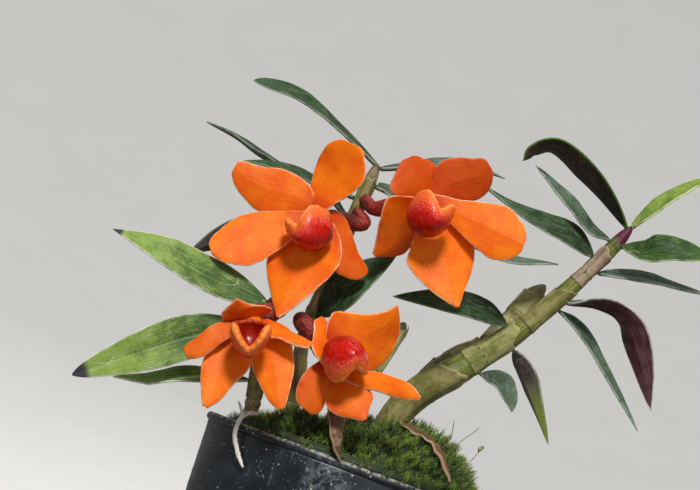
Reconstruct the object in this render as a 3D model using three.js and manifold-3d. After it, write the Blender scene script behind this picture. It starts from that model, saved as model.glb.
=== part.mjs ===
// A miniature dendrobium orchid in a small plastic pot, with four orange blooms.
// Millimetres, +Z up. The front faces -Y and the origin is the middle of the pot's foot.
import * as THREE from "three";
import { mergeVertices } from "three/addons/utils/BufferGeometryUtils.js";
import Module from "manifold-3d";

const wasm = await Module();
wasm.setup();

const degrees = THREE.MathUtils.degToRad;
const lerp = THREE.MathUtils.lerp;
const clamp = THREE.MathUtils.clamp;

// Driving dimensions
const POT_HEIGHT = 58;
const POT_RIM_RADIUS = 30;
const POT_TOP_RADIUS = 29.4;
const POT_FOOT_RADIUS = 27;
const POT_WALL = 1.2;
const POT_FLOOR = 1.6;
const BEAD_HEIGHT = 1.8;
const DRAIN_HOLES = 5;
const DRAIN_RADIUS = 3;
const DRAIN_CIRCLE = 16;
const GAP = 0.3;
const MEDIUM_TOP = 53.6;
const RHIZOME_RADIUS = 1.5;
const ROOT_RADIUS = 0.8;
const ROOTS = 6;
const SWELLING = 0.18;
const MOSS_FOOT = 54.9;
const MOSS_HEIGHT = 11;
const SHOOTS = 82;
const LEAF_THICKNESS = 0.7;
const TEPAL_THICKNESS = 0.7;
const DRY_THICKNESS = 0.6;
const PEDICEL_RADIUS = 0.75;
const OVARY_RADIUS = 2.7;
const HUB_RADIUS = 2.1;
const LIP_HALF_WIDTH = 4.7;
const LIP_FRONT = 5.4;
const LIP_BACK = 4.8;
const LIP_DEPTH = 4.2;
const LIP_WALL = 1;
const LIP_CREST = degrees(48);
const LIP_NOTCH = 2.8;
const LIP_HORN = 2.6;
const HORN_TURN = 0.7;

// Colours and surfaces
const POT_COLOUR = 0x2b343b;
const MEDIUM_COLOUR = 0x3a2b20;
const MOSS_COLOUR = 0x4d7a1f;
const ROOT_COLOUR = 0xd9d6c4;
const RHIZOME_COLOUR = 0x9a8f6a;
const CANE_COLOUR = 0x8f9a5c;
const OLD_CANE_COLOUR = 0xa39a72;
const LEAF_COLOUR = 0x3f6b3c;
const DRY_COLOUR = 0x9a7048;
const TEPAL_COLOUR = 0xf2740f;
const LIP_COLOUR = 0xd9201a;
const OVARY_COLOUR = 0x7a1622;

const point = (x, y, z) => new THREE.Vector3(x, y, z);
const points = (list) => list.map((p) => point(...p));

// The canes: each row is a joint of the stem, with its radius.
const CANES = {
  main: [
    [2.5, -5.5, 51.8, 2.0],
    [7.6, -8, 72.8, 2.6],
    [16.6, -8, 85, 3.2],
    [24.3, -8, 95.4, 2.6],
    [30.2, -8, 105.5, 1.9],
    [35.3, -8, 115.4, 1.5],
    [39.2, -8, 124.2, 1.2],
  ],
  old: [
    [5.5, 2, 51.8, 1.6],
    [8, 0.8, 72.5, 1.9],
    [10.7, 0.4, 80.3, 2.0],
    [14.5, 0.6, 86.2, 2.0],
    [19.5, 1.2, 90.5, 2.0],
    [23, 1.8, 97.5, 2.2],
    [25, 2.4, 103, 2.5],
    [27.2, 3, 107.4, 1.4],
  ],
  flower: [
    [-13.5, -8.5, 51.8, 1.3],
    [-14.2, -9.6, 66, 1.4],
    [-16.5, -10, 78, 1.4],
    [-16.3, -9.6, 91, 1.3],
    [-15.7, -8.6, 105, 1.35],
    [-14.9, -8, 118, 1.15],
  ],
  short: [
    [-5, -9.5, 51.8, 1.3],
    [-5.2, -15, 65.5, 1.5],
    [-1.2, -13.2, 76, 1.5],
    [1.9, -8.6, 89, 1.1],
  ],
  left: [
    [-20.8, -13.5, 51.8, 1.3],
    [-21.6, -16, 62, 1.5],
    [-23.6, -18, 73, 1.5],
    [-25.2, -19.6, 84, 1.2],
  ],
};

// Outlines of the blades: share of the width at the foot, where the blade is widest, and how
// pointed it is (0.5 is round, 1 and more is drawn out to a point).
const OUTLINES = {
  leaf: { foot: 0.16, widest: 0.42, tip: 0.95 },
  broadLeaf: { foot: 0.16, widest: 0.45, tip: 0.7 },
  footLeaf: { foot: 0.2, widest: 0.3, tip: 1.05 },
  narrowLeaf: { foot: 0.3, widest: 0.5, tip: 0.8 },
  waistedLeaf: { foot: 0.16, widest: 0.3, tip: 1.3 },
  clubLeaf: { foot: 0.22, widest: 0.78, tip: 0.6 },
  dry: { foot: 0.5, widest: 0.35, tip: 0.8 },
  petal: { foot: 0.34, widest: 0.64, tip: 0.55 },
  sepal: { foot: 0.5, widest: 0.52, tip: 0.75 },
  lateral: { foot: 0.62, widest: 0.34, tip: 0.95 },
};

// Middle lines of the longest leaves: the club-shaped one, the one that hangs behind the blooms,
// and the one that arches over at the top.
const CLUB_ROUTE = [[-22.1, -7, 120.9], [-30, -6, 124.1], [-36, -7, 125.7], [-45.1, -8, 125.3]];
const TRAILING_ROUTE = [[27.5, -10, 117.5], [21, -10, 118], [14, -8, 119.5], [6.5, -5, 122]];
const ARCHING_ROUTE = [
  [30.8, -11, 128.2], [25.2, -12, 130.9], [18.5, -12.8, 133.3], [14.5, -13.5, 131.3], [12.9, -14, 128.5],
];

// The leaves: the cane, the joint that carries the leaf (a fraction lies between joints), the
// middle line after the foot, the full width, where the upper face looks, how far it twists from
// foot to tip in degrees, and the name of its outline.
const LEAVES = [
  leaf("left", 1.45, [[-35.5, -21, 63], [-42.5, -19.5, 59.5], [-50, -18, 57.5]],
    5.8, [0.2, -0.6, 0.9]),
  leaf("left", 2.4, [[-37, -23, 71], [-45.5, -24, 64.5], [-57.5, -24, 55]],
    9.8, [0.4, -0.9, 0.5], 0, "broadLeaf"),
  leaf("left", 2.85, [[-39, -24, 82.8], [-50, -26, 84.5], [-60, -26, 85.2]],
    9.2, [0, -0.85, 0.6], 0, "footLeaf"),
  leaf("flower", 2.4, [[-12.8, -13.6, 89], [-9.7, -13.2, 94.5], [-4.7, -12.5, 101]],
    7, [-0.6, -0.9, 0.2]),
  leaf("flower", 3.75, [[-27.5, -6, 99], [-37.5, -5, 94], [-45.5, -4, 87]], 5.2, [-0.1, 0.7, 0.7]),
  leaf("flower", 4.0, [[-25, -11, 109], [-33.5, -12, 109.5], [-41, -12, 108.5]],
    5.2, [0.1, -0.5, 0.9]),
  leaf("flower", 4.35, [[-29.5, -1, 110.5], [-38.5, 2, 112], [-45, 4, 114], [-52, 6, 115]],
    4.6, [0, -0.15, 1]),
  leaf("flower", 4.65, [[-10, -7, 113], [4, -8, 110], [16.5, -8, 108.5], [27.5, -8, 111.5]],
    5.6, [0, -0.3, 1]),
  leaf("flower", 4.97, CLUB_ROUTE, 4.2, [0.2, -0.35, 0.9], 32, "clubLeaf"),
  leaf("flower", 4.93, [[-6, -6, 120.8], [2.5, -3, 124.8], [11.3, 0, 125.3]], 5.6, [0, -0.25, 1]),
  leaf("main", 2.1, [[23.6, -10.4, 83.6], [26, -11.6, 82], [28.7, -13, 79.3]],
    5.8, [0.6, -0.8, 0.5], 0, "broadLeaf"),
  leaf("main", 2.8, [[26.8, -5.6, 89.4], [29.6, -4.6, 86.5], [33, -4, 82.8], [38.5, -6, 76]],
    6, [0.5, 0.7, 0.5]),
  leaf("main", 2.95, [[15.5, -12, 96.5], [7, -13, 95.5], [-2.5, -12.5, 93]],
    6.4, [0.1, -0.85, 0.5]),
  leaf("main", 3.8, [[36.5, -6, 100.5], [43.5, -6, 95], [55, -6, 85]], 3.6, [0.5, -0.7, 0.5]),
  leaf("main", 3.95, [[38, -11, 105.8], [44, -13.4, 104.4], [49.4, -13.4, 99], [55.5, -12, 89.6]],
    7.6, [0.4, 0.3, 0.9], -60),
  leaf("main", 4.75, [[44.5, -5, 115], [52, -4, 116], [61, -3, 117]],
    4.4, [0, -0.55, 0.8], 0, "waistedLeaf"),
  leaf("main", 4.95, TRAILING_ROUTE, 6.6, [0.2, -0.75, 0.65], -25, "waistedLeaf"),
  leaf("main", 5.45, [[31, -9.5, 120.5], [25.9, -9.5, 123.6], [21.4, -9, 126.2], [16, -7, 129.4]],
    4.4, [0.3, -0.7, 0.7]),
  leaf("main", 5.5, [[43.6, -11.5, 120], [48.8, -12.5, 122], [56.4, -12, 123.4]],
    8.4, [0, -0.75, 0.7], 0, "broadLeaf"),
  leaf("main", 5.9, ARCHING_ROUTE, 6.6, [0.05, 0.5, 0.85]),
  leaf("main", 6.0, [[42, -9, 128.8], [45.4, -10, 133.6], [51, -11, 139.7]],
    4.4, [-0.5, -0.6, 0.5], 0, "narrowLeaf"),
];

function leaf(cane, joint, route, width, face, twist = 0, outline = "leaf") {
  return { cane, joint, route, width, face, twist, outline, fold: 16, wave: 0.35 };
}

// The blooms: middle of the ring, where the bloom looks, where its back sepal points, and its
// five segments, each by its tip from the middle, its width, its turn about its own length, how
// far its middle bows forward, and how far it sways sideways.
const BLOOMS = [
  {
    middle: [-22, -20, 102.5],
    looks: [-0.4, -0.9, 0.05],
    lip: { middle: [-23.2, -27.8, 99.1], apex: [-0.14, -0.76, -0.69], open: [-0.8, -0.29, 0.5] },
    carrier: ["flower", 4.12, [0.1, -1, 0]],
    stalk: [[-13.4, -12.4, 105], [-17.4, -13, 103.8]],
    segments: {
      sepal: { tip: [-20, 1, 3.5], width: 9.8, turn: 0, bow: -0.5 },
      petal: { tip: [0.5, -3, 16], width: 10.2, turn: 0, bow: -1 },
      petal_2: { tip: [-18.5, -4, -14], width: 10.6, turn: 0, bow: -0.5 },
      lateral: { tip: [-1.2, -8, -22.4], width: 15.6, turn: 0, bow: 0 },
      lateral_2: { tip: [12, 1, -8.8], width: 10.5, turn: -38, bow: 0 },
    },
  },
  {
    middle: [-3, -20, 112.5],
    looks: [0.35, -0.92, 0.05],
    lip: { middle: [-1.4, -28.4, 110.2], apex: [0.1, -0.87, -0.55], open: [0.08, -0.44, 0.78] },
    carrier: ["flower", 4.36, [0.3, -1, 0]],
    stalk: [[-12.4, -12.6, 108.6], [-9, -14.6, 110]],
    segments: {
      sepal: { tip: [9.4, 0, 12.2], width: 10.4, turn: 0, bow: -0.5 },
      petal: { tip: [-6.6, -2, 7.4], width: 10.4, turn: 12, bow: 0.5 },
      petal_2: { tip: [21.5, -3, -0.5], width: 11, turn: 0, bow: -0.5 },
      lateral: { tip: [-5.6, 1, -13.6], width: 11, turn: -25, bow: 0.5 },
      lateral_2: { tip: [13.5, -5, -17.5], width: 14, turn: 0, bow: -1.5 },
    },
  },
  {
    middle: [-27.5, -28, 77.5],
    looks: [0.08, -0.95, -0.25],
    lip: { middle: [-25.6, -35.8, 74.2], apex: [0.24, -0.6, -0.76], open: [-0.12, -0.78, 0.6] },
    carrier: ["left", 2.8, [0.55, -0.8, 0.1]],
    stalk: [[-23.7, -23.9, 81.3]],
    segments: {
      sepal: { tip: [-4, -7, 4], width: 7.2, turn: 0, bow: 1 },
      petal: { tip: [-10.5, -4, -10], width: 6, turn: 30, bow: 1.5 },
      petal_2: { tip: [13, -6, 0.5], width: 5.6, turn: -60, bow: 0.5 },
      lateral: { tip: [-3, -7, -19], width: 9.4, turn: 8, bow: -1 },
      lateral_2: { tip: [12, -7, -14], width: 9.4, turn: -8, bow: -1 },
    },
  },
  {
    middle: [-8, -28, 75],
    looks: [0.3, -0.9, -0.15],
    lip: { middle: [-6.5, -36.2, 76], apex: [0.02, -0.86, 0.45], open: [0.51, -0.43, -0.77] },
    carrier: ["flower", 2.2, [-0.1, -1, 0.2]],
    stalk: [[-17.8, -17, 81.6], [-18, -22, 81.2], [-14, -23.4, 79]],
    segments: {
      sepal: { tip: [8.5, -6, -8], width: 9, turn: 0, bow: 0.5 },
      petal: { tip: [-2.5, -4, -10.5], width: 7, turn: 10, bow: 0.5 },
      petal_2: { tip: [17, -8, -0.3], width: 7, turn: -30, bow: -1 },
      lateral: { tip: [-8, -2, 7], width: 9, turn: 48, bow: 1 },
      lateral_2: { tip: [6.8, -1, 15.6], width: 13.6, turn: 0, bow: -1, sway: 1.6 },
    },
  },
];

// A smooth curve through the points, run through evenly from point to point.
function smoothCurve(list) {
  return new THREE.CatmullRomCurve3(list, false, "catmullrom", 0.5);
}

// Welds a geometry's corners and drops the slivers at its poles.
function welded(geometry) {
  const bare = new THREE.BufferGeometry();
  bare.setAttribute("position", geometry.getAttribute("position").clone());
  bare.setIndex(geometry.index);
  const merged = mergeVertices(bare, 1e-4);
  const corners = merged.index.array;
  const kept = [];
  for (let i = 0; i < corners.length; i += 3) {
    const [a, b, c] = [corners[i], corners[i + 1], corners[i + 2]];
    if (a !== b && b !== c && c !== a) kept.push(a, b, c);
  }
  merged.setIndex(kept);
  return merged;
}

function solidOf(geometry) {
  const merged = welded(geometry);
  const vertProperties = merged.getAttribute("position").array;
  const triVerts = new Uint32Array(merged.index.array);
  return new wasm.Manifold(new wasm.Mesh({ numProp: 3, vertProperties, triVerts }));
}

// The geometry of a solid's outer skin: a hollow that joining sealed is filled, and scraps are dropped.
function geometryOf(solid) {
  const skins = solid.decompose().sort((a, b) => b.volume() - a.volume());
  const mesh = skins[0].getMesh();
  const geometry = new THREE.BufferGeometry();
  geometry.setAttribute("position", new THREE.BufferAttribute(mesh.vertProperties, 3));
  geometry.setIndex(new THREE.BufferAttribute(mesh.triVerts, 1));
  return geometry;
}

function fused(geometries) {
  const solids = geometries.map(solidOf);
  return geometryOf(solids.reduce((sum, solid) => sum.add(solid)));
}

function cutBy(geometry, cutters) {
  return geometryOf(cutters.map(solidOf).reduce((left, solid) => left.subtract(solid), solidOf(geometry)));
}

// A round stem along a curve: a closed cylinder bent along it, with its radius at each share.
function stem(curve, radiusAt, sides, steps) {
  const geometry = new THREE.CylinderGeometry(1, 1, 1, sides, steps);
  const places = geometry.getAttribute("position");
  const frames = curve.computeFrenetFrames(steps);
  for (let i = 0; i < places.count; i++) {
    const station = Math.round((0.5 - places.getY(i)) * steps);
    const share = station / steps;
    const radius = radiusAt(share);
    const place = curve.getPointAt(share);
    place.addScaledVector(frames.normals[station], places.getX(i) * radius);
    place.addScaledVector(frames.binormals[station], places.getZ(i) * radius);
    places.setXYZ(i, place.x, place.y, place.z);
  }
  return geometry;
}

// A thin closed blade over a surface: two like sheets, one over the other, and the edge between.
function blade(surface, thickness, across, along) {
  const sheet = new THREE.PlaneGeometry(2, 1, across, along);
  const grid = sheet.getAttribute("position");
  const corners = sheet.index.array;
  const count = grid.count;
  const places = [];
  for (const side of [0.5, -0.5]) {
    for (let i = 0; i < count; i++) {
      const { place, normal } = surface(grid.getX(i), grid.getY(i) + 0.5);
      place.addScaledVector(normal, side * thickness);
      places.push(place.x, place.y, place.z);
    }
  }
  const faces = [...corners];
  for (let i = 0; i < corners.length; i += 3) {
    faces.push(corners[i + 2] + count, corners[i + 1] + count, corners[i] + count);
  }
  const at = (column, row) => column + row * (across + 1);
  const rim = [];
  for (let i = 0; i < across; i++) rim.push(at(i, along));
  for (let j = along; j > 0; j--) rim.push(at(across, j));
  for (let i = across; i > 0; i--) rim.push(at(i, 0));
  for (let j = 0; j < along; j++) rim.push(at(0, j));
  rim.forEach((from, k) => {
    const to = rim[(k + 1) % rim.length];
    faces.push(to, from, from + count, to, from + count, to + count);
  });
  const geometry = new THREE.BufferGeometry();
  geometry.setAttribute("position", new THREE.Float32BufferAttribute(places, 3));
  geometry.setIndex(faces);
  return geometry;
}

// Share of a blade's full width at a share of its length.
function outlineAt(share, { foot, widest, tip }) {
  if (share < widest) {
    const rise = Math.sin((Math.PI / 2) * (share / widest));
    return foot + (1 - foot) * Math.pow(rise, 0.85);
  }
  const rest = (share - widest) / (1 - widest);
  return Math.max(Math.pow(1 - rest * rest, tip), 0.07);
}

// The surface of a blade along a curve. u runs across from -1 to 1, and v from foot to tip.
function bladeSurface(curve, { width, outline, face, twist, fold, wave }) {
  const step = 0.01;
  return (u, v) => {
    const place = curve.getPoint(v);
    const before = curve.getPoint(Math.max(v - step, 0));
    const along = curve.getPoint(Math.min(v + step, 1)).sub(before).normalize();
    const normal = face.clone().addScaledVector(along, -face.dot(along)).normalize();
    normal.applyAxisAngle(along, degrees(twist * v));
    const side = new THREE.Vector3().crossVectors(along, normal);
    const half = 0.5 * width * outlineAt(v, outline);
    const tilt = degrees(fold);
    const ripple = wave * Math.sin(14 * v + (u > 0 ? 0 : 1.7)) * u * u * Math.sin(Math.PI * v);
    place.addScaledVector(side, half * u * Math.cos(tilt));
    place.addScaledVector(normal, half * Math.abs(u) * Math.sin(tilt) + ripple);
    return { place, normal };
  };
}

// A stem's radius at a share of its length: a little swollen between its joints.
function caneRadius(rows) {
  return (share) => {
    const along = share * (rows.length - 1);
    const joint = Math.min(Math.floor(along), rows.length - 2);
    const rest = along - joint;
    const swelling = SWELLING * Math.sin(Math.PI * rest);
    const rounding = Math.sqrt(1 - Math.pow(clamp((share - 0.94) / 0.062, 0, 1), 2));
    return (lerp(rows[joint][3], rows[joint + 1][3], rest) + swelling) * rounding;
  };
}

function caneCurve(name) {
  return smoothCurve(points(CANES[name].map((row) => row.slice(0, 3))));
}

function cane(name, sides, steps) {
  return stem(caneCurve(name), caneRadius(CANES[name]), sides, steps);
}

// The hole that a cane stands in: the cane's foot with a gap round it, drawn on at both ends.
function caneHole(name) {
  const rows = CANES[name];
  const foot = point(...rows[0]);
  const down = point(...rows[1]).sub(foot).normalize();
  const start = foot.clone().addScaledVector(down, -1.6);
  const above = [0.3, 0.6, 0.9, 1.2].map((joint) => caneCurve(name).getPoint(joint / (rows.length - 1)));
  const radius = rows[1][3] + SWELLING + 1.4 * GAP;
  return stem(smoothCurve([start, foot, ...above]), () => radius, 9, 7);
}

// Where a leaf or stalk leaves its cane: a point just clear of the bark, on the way out.
function leaveCane(name, joint, towards) {
  const rows = CANES[name];
  const share = joint / (rows.length - 1);
  const axis = caneCurve(name).getPoint(share);
  const along = caneCurve(name).getTangent(share);
  const out = towards.clone().normalize();
  out.addScaledVector(along, -out.dot(along) * 0.5).normalize();
  const away = Math.sqrt(1 - out.dot(along) ** 2);
  const radius = caneRadius(rows)(share);
  const clear = share > 0.99 ? GAP + 0.1 : (radius + GAP + 0.1) / Math.max(away, 0.7);
  return { start: axis.addScaledVector(out, clear), out };
}

function leafBlade(row, thickness = LEAF_THICKNESS) {
  const first = point(...row.route[0]);
  const joint = caneCurve(row.cane).getPoint(row.joint / (CANES[row.cane].length - 1));
  const { start } = leaveCane(row.cane, row.joint, first.clone().sub(joint));
  const curve = smoothCurve([start, ...points(row.route)]);
  const shape = { ...row, outline: OUTLINES[row.outline], face: point(...row.face) };
  const across = row.width > 5 ? 4 : 2;
  return blade(bladeSurface(curve, shape), thickness, across, 10);
}

// A dried strip: a leaf or sheath that withered on its cane.
function dryStrip(cane, joint, route, width, face, twist) {
  const row = { cane, joint, route, width, face, twist, outline: "dry", fold: -14, wave: 0.3 };
  return leafBlade(row, DRY_THICKNESS);
}

// One orange segment, from inside the bloom's hub to its tip.
function segmentBlade(bloom, kind, segment) {
  const middle = point(...bloom.middle);
  const looks = point(...bloom.looks).normalize();
  const reach = point(...segment.tip);
  const along = reach.clone().normalize();
  const foot = middle.clone().addScaledVector(along, 0.7);
  const face = looks.clone().addScaledVector(along, -looks.dot(along)).normalize();
  const side = new THREE.Vector3().crossVectors(along, face);
  const waist = middle.clone().addScaledVector(reach, 0.5).addScaledVector(looks, segment.bow);
  waist.addScaledVector(side, segment.sway ?? 0);
  const curve = smoothCurve([foot, waist, middle.clone().add(reach)]);
  face.applyAxisAngle(along, degrees(segment.turn));
  const outline = OUTLINES[kind];
  const shape = { width: segment.width, outline, face, twist: 0, fold: -7, wave: 0.25 };
  return blade(bladeSurface(curve, shape), TEPAL_THICKNESS, 4, 6);
}

function bloomRing(bloom) {
  const hub = new THREE.SphereGeometry(HUB_RADIUS, 10, 6);
  hub.translate(...bloom.middle);
  const blades = Object.entries(bloom.segments).map(([name, segment]) =>
    segmentBlade(bloom, name.split("_")[0], segment),
  );
  const looks = point(...bloom.looks).normalize();
  const foot = point(...bloom.middle);
  const column = stem(smoothCurve([foot, foot.clone().addScaledVector(looks, 3.6)]), () => 0.9, 8, 2);
  return fused([hub, column, ...blades]);
}

// The scoop-shaped lip: a bowl whose margin rolls in, wide open behind and nearly shut in front.
function lip(bloom) {
  const rings = 10;
  const profile = [];
  for (let i = 0; i <= rings; i++) profile.push(new THREE.Vector2(Math.sin((Math.PI * i) / rings), i));
  const geometry = new THREE.LatheGeometry(profile, 14);
  const uv = geometry.getAttribute("uv");
  const places = geometry.getAttribute("position");
  const apex = point(...bloom.lip.apex).normalize();
  const open = point(...bloom.lip.open);
  open.addScaledVector(apex, -open.dot(apex)).normalize();
  const side = new THREE.Vector3().crossVectors(open, apex);
  for (let i = 0; i < places.count; i++) {
    const { across, forward, up } = lipPoint(2 * Math.PI * uv.getX(i), uv.getY(i));
    const place = point(...bloom.lip.middle).addScaledVector(side, across);
    place.addScaledVector(apex, forward).addScaledVector(open, up);
    places.setXYZ(i, place.x, place.y, place.z);
  }
  return geometry;
}

// A point of the lip: share 0 is the outer pole, 0.5 the margin and 1 the inner pole.
function lipPoint(turn, share) {
  const wall = share > 0.5 ? LIP_WALL : 0;
  const rise = share > 0.5 ? 2 - 2 * share : 2 * share;
  const angle = lerp(-Math.PI / 2, LIP_CREST, Math.min(rise / 0.8, 1));
  const front = 0.5 + 0.5 * Math.cos(turn);
  const back = clamp((-Math.cos(turn) - 0.6) / 0.4, 0, 1);
  const crest = angle * (angle > 0 ? 1 - 0.8 * back : 1);
  const bowl = {
    across: (LIP_HALF_WIDTH - wall) * Math.cos(crest) * Math.sin(turn),
    forward: (lerp(LIP_BACK, LIP_FRONT, front) - wall) * Math.cos(crest) * Math.cos(turn),
    up: (LIP_DEPTH - wall) * Math.sin(crest),
  };
  return blend(bowl, lipMargin(turn), clamp((rise - 0.8) / 0.2, 0, 1));
}

// The lip's margin: a narrow V from the notch in front to two horns, then low across the back.
function lipMargin(turn) {
  const side = Math.abs(turn > Math.PI ? 2 * Math.PI - turn : turn) / Math.PI;
  const sign = turn > Math.PI ? -1 : 1;
  const notch = { across: 0, forward: LIP_NOTCH, up: 0.7 * LIP_DEPTH };
  const horn = { across: sign * LIP_HORN, forward: -0.35 * LIP_BACK, up: 1.05 * LIP_DEPTH };
  const back = { across: 0, forward: -0.8 * LIP_BACK, up: 0.1 * LIP_DEPTH };
  if (side < HORN_TURN) return blend(notch, horn, side / HORN_TURN);
  return blend(horn, back, (side - HORN_TURN) / (1 - HORN_TURN));
}

function blend(a, b, share) {
  return {
    across: lerp(a.across, b.across, share),
    forward: lerp(a.forward, b.forward, share),
    up: lerp(a.up, b.up, share),
  };
}

// The stalk of a bloom: a thin pedicel that swells into the ovary behind the hub.
function stalk(bloom) {
  const [name, joint, towards] = bloom.carrier;
  const { start, out } = leaveCane(name, joint, point(...towards));
  const looks = point(...bloom.looks).normalize();
  const end = point(...bloom.middle).addScaledVector(looks, -(HUB_RADIUS + GAP + 0.4));
  const route = [start, start.clone().addScaledVector(out, 1.5), ...points(bloom.stalk), end];
  const radiusAt = (share) => {
    const swelling = lerp(PEDICEL_RADIUS, OVARY_RADIUS, Math.pow(share, 1.6));
    return swelling * (1 - 0.7 * THREE.MathUtils.smoothstep(share, 0.75, 1));
  };
  return stem(smoothCurve(route), radiusAt, 8, 10);
}

function wallRadius(height) {
  return lerp(POT_FOOT_RADIUS, POT_TOP_RADIUS, height / POT_HEIGHT);
}

// A point beside the pot's wall: degrees to the right of the front, height, and distance off it.
function besidePot(angle, height, off) {
  const radius = wallRadius(height) + off;
  return [radius * Math.sin(degrees(angle)), -radius * Math.cos(degrees(angle)), height];
}

function turned(profile, segments) {
  const outline = profile.map(([radius, height]) => new THREE.Vector2(radius, height));
  return new THREE.LatheGeometry(outline, segments).rotateX(Math.PI / 2);
}

function pot() {
  const under = POT_HEIGHT - BEAD_HEIGHT;
  const inside = (height) => wallRadius(height) - POT_WALL;
  const shell = turned(
    [
      [0, 0],
      [POT_FOOT_RADIUS - 0.6, 0],
      [POT_FOOT_RADIUS, 0.6],
      [wallRadius(under), under],
      [POT_RIM_RADIUS, under + 0.4],
      [POT_RIM_RADIUS, POT_HEIGHT - 0.5],
      [POT_RIM_RADIUS - 0.5, POT_HEIGHT],
      [inside(POT_HEIGHT) + 0.3, POT_HEIGHT],
      [inside(POT_HEIGHT), POT_HEIGHT - 0.4],
      [inside(POT_FLOOR), POT_FLOOR],
      [0, POT_FLOOR],
    ],
    36,
  );
  const drains = Array.from({ length: DRAIN_HOLES }, (_, i) => {
    const angle = (2 * Math.PI * (i + 0.5)) / DRAIN_HOLES;
    const drill = new THREE.CylinderGeometry(DRAIN_RADIUS, DRAIN_RADIUS, 8, 10).rotateX(Math.PI / 2);
    return drill.translate(DRAIN_CIRCLE * Math.cos(angle), DRAIN_CIRCLE * Math.sin(angle), 0);
  });
  return cutBy(shell, drains);
}

// The rhizome that joins the canes, and its roots. extra widens it, for the hollow it lies in.
function rhizomeAndRoots(extra) {
  const feet = ["left", "flower", "short", "main", "old"].map((name) => CANES[name][0]);
  const route = smoothCurve(feet.map(([x, y, z]) => point(x, y, z - RHIZOME_RADIUS - 1.1)));
  const rhizome = stem(route, () => RHIZOME_RADIUS + extra, 7, 8);
  const roots = Array.from({ length: ROOTS }, (_, i) => {
    const start = route.getPoint((i + 0.5) / ROOTS);
    const angle = 2.4 * i;
    const outward = point(Math.cos(angle), Math.sin(angle), 0);
    const middle = start.clone().multiplyScalar(0.7).addScaledVector(outward, 9).setZ(34 - 2 * (i % 3));
    const end = start.clone().multiplyScalar(0.3).addScaledVector(outward, 15).setZ(12 + 4 * (i % 4));
    return stem(smoothCurve([start, middle, end]), () => ROOT_RADIUS + extra, 5, 4);
  });
  return fused([rhizome, ...roots]);
}

function medium() {
  const inside = (height) => wallRadius(height) - POT_WALL - GAP;
  const foot = POT_FLOOR + GAP;
  const block = turned(
    [
      [0, foot],
      [inside(foot) - 0.3, foot],
      [inside(MEDIUM_TOP) - 0.3, MEDIUM_TOP - 1.6],
      [24, MEDIUM_TOP - 0.6],
      [18, MEDIUM_TOP],
      [12, MEDIUM_TOP - 0.5],
      [6, MEDIUM_TOP],
      [0, MEDIUM_TOP],
    ],
    24,
  );
  const places = block.getAttribute("position");
  for (let i = 0; i < places.count; i++) {
    const [x, y, z] = [places.getX(i), places.getY(i), places.getZ(i)];
    const lump = 0.7 * Math.sin(0.9 * x + 1.3) * Math.cos(0.8 * y);
    if (z > MEDIUM_TOP - 2) places.setZ(i, z + lump);
  }
  return cutBy(block, [rhizomeAndRoots(GAP), ...Object.keys(CANES).map(caneHole)]);
}

// How far the moss reaches out: to the rim in front and on the right, less behind on the left.
function mossReach(angle) {
  return 1 - 0.3 * Math.pow(Math.max(0, Math.cos(angle - degrees(140))), 1.5);
}

// The moss cushion's height over the pot's top: one high mound, and a small tuft in front.
function mossTop(x, y) {
  const radius = Math.hypot(x, y);
  const angle = Math.atan2(y, x);
  const edge = 1 - Math.pow(Math.min(radius / (29.6 * mossReach(angle)), 1), 9);
  const mound = MOSS_HEIGHT * Math.exp(-((x - 12) ** 2) / 420 - (y + 6) ** 2 / 330);
  const tuft = 5 * Math.exp(-((x + 12) ** 2 + (y + 20) ** 2) / 34);
  const lumps = 0.5 * Math.sin(0.8 * x) * Math.sin(0.7 * y + 1);
  return MOSS_FOOT + 1.4 + (mound + tuft + lumps + 2) * edge;
}

function mossCushion() {
  const foot = MOSS_FOOT;
  const overRim = POT_HEIGHT + GAP;
  const sides = [[0, foot], [14, foot], [27, foot], [27.4, overRim], [29.3, overRim + 1.1]];
  const shares = [0.95, 0.86, 0.72, 0.56, 0.4, 0.22, 0];
  const cushion = turned([...sides, ...shares.map((share) => [29.3 * share, POT_HEIGHT + 5])], 24);
  const places = cushion.getAttribute("position");
  for (let i = 0; i < places.count; i++) {
    const [x, y, z] = [places.getX(i), places.getY(i), places.getZ(i)];
    const reach = mossReach(Math.atan2(y, x));
    const lowered = z > foot ? 12 * (1 - reach) : 0;
    const top = z > POT_HEIGHT + 4;
    const height = top ? mossTop(x * reach, y * reach) : Math.max(z - lowered, foot);
    places.setXYZ(i, x * reach, y * reach, height);
  }
  return cushion;
}

// Whether a shoot of moss would stand in a cane, a dried strip or the aerial root.
function taken(x, y, busy) {
  return busy.some(([cx, cy, clear]) => Math.hypot(x - cx, y - cy) < clear);
}

function busySpots() {
  const spots = [];
  for (const name of Object.keys(CANES)) {
    for (const share of [0.05, 0.15, 0.25, 0.35]) {
      const place = caneCurve(name).getPoint(share);
      if (place.z < 74) spots.push([place.x, place.y, 3.4]);
    }
  }
  for (const [x, y] of [...BRACT_ROUTE, ...SHEATH_ROUTE, ...AERIAL_ROOT]) spots.push([x, y, 3.2]);
  return spots;
}

function seededRandom(seed) {
  let state = seed;
  return () => {
    state = (state * 1664525 + 1013904223) % 4294967296;
    return state / 4294967296;
  };
}

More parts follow.
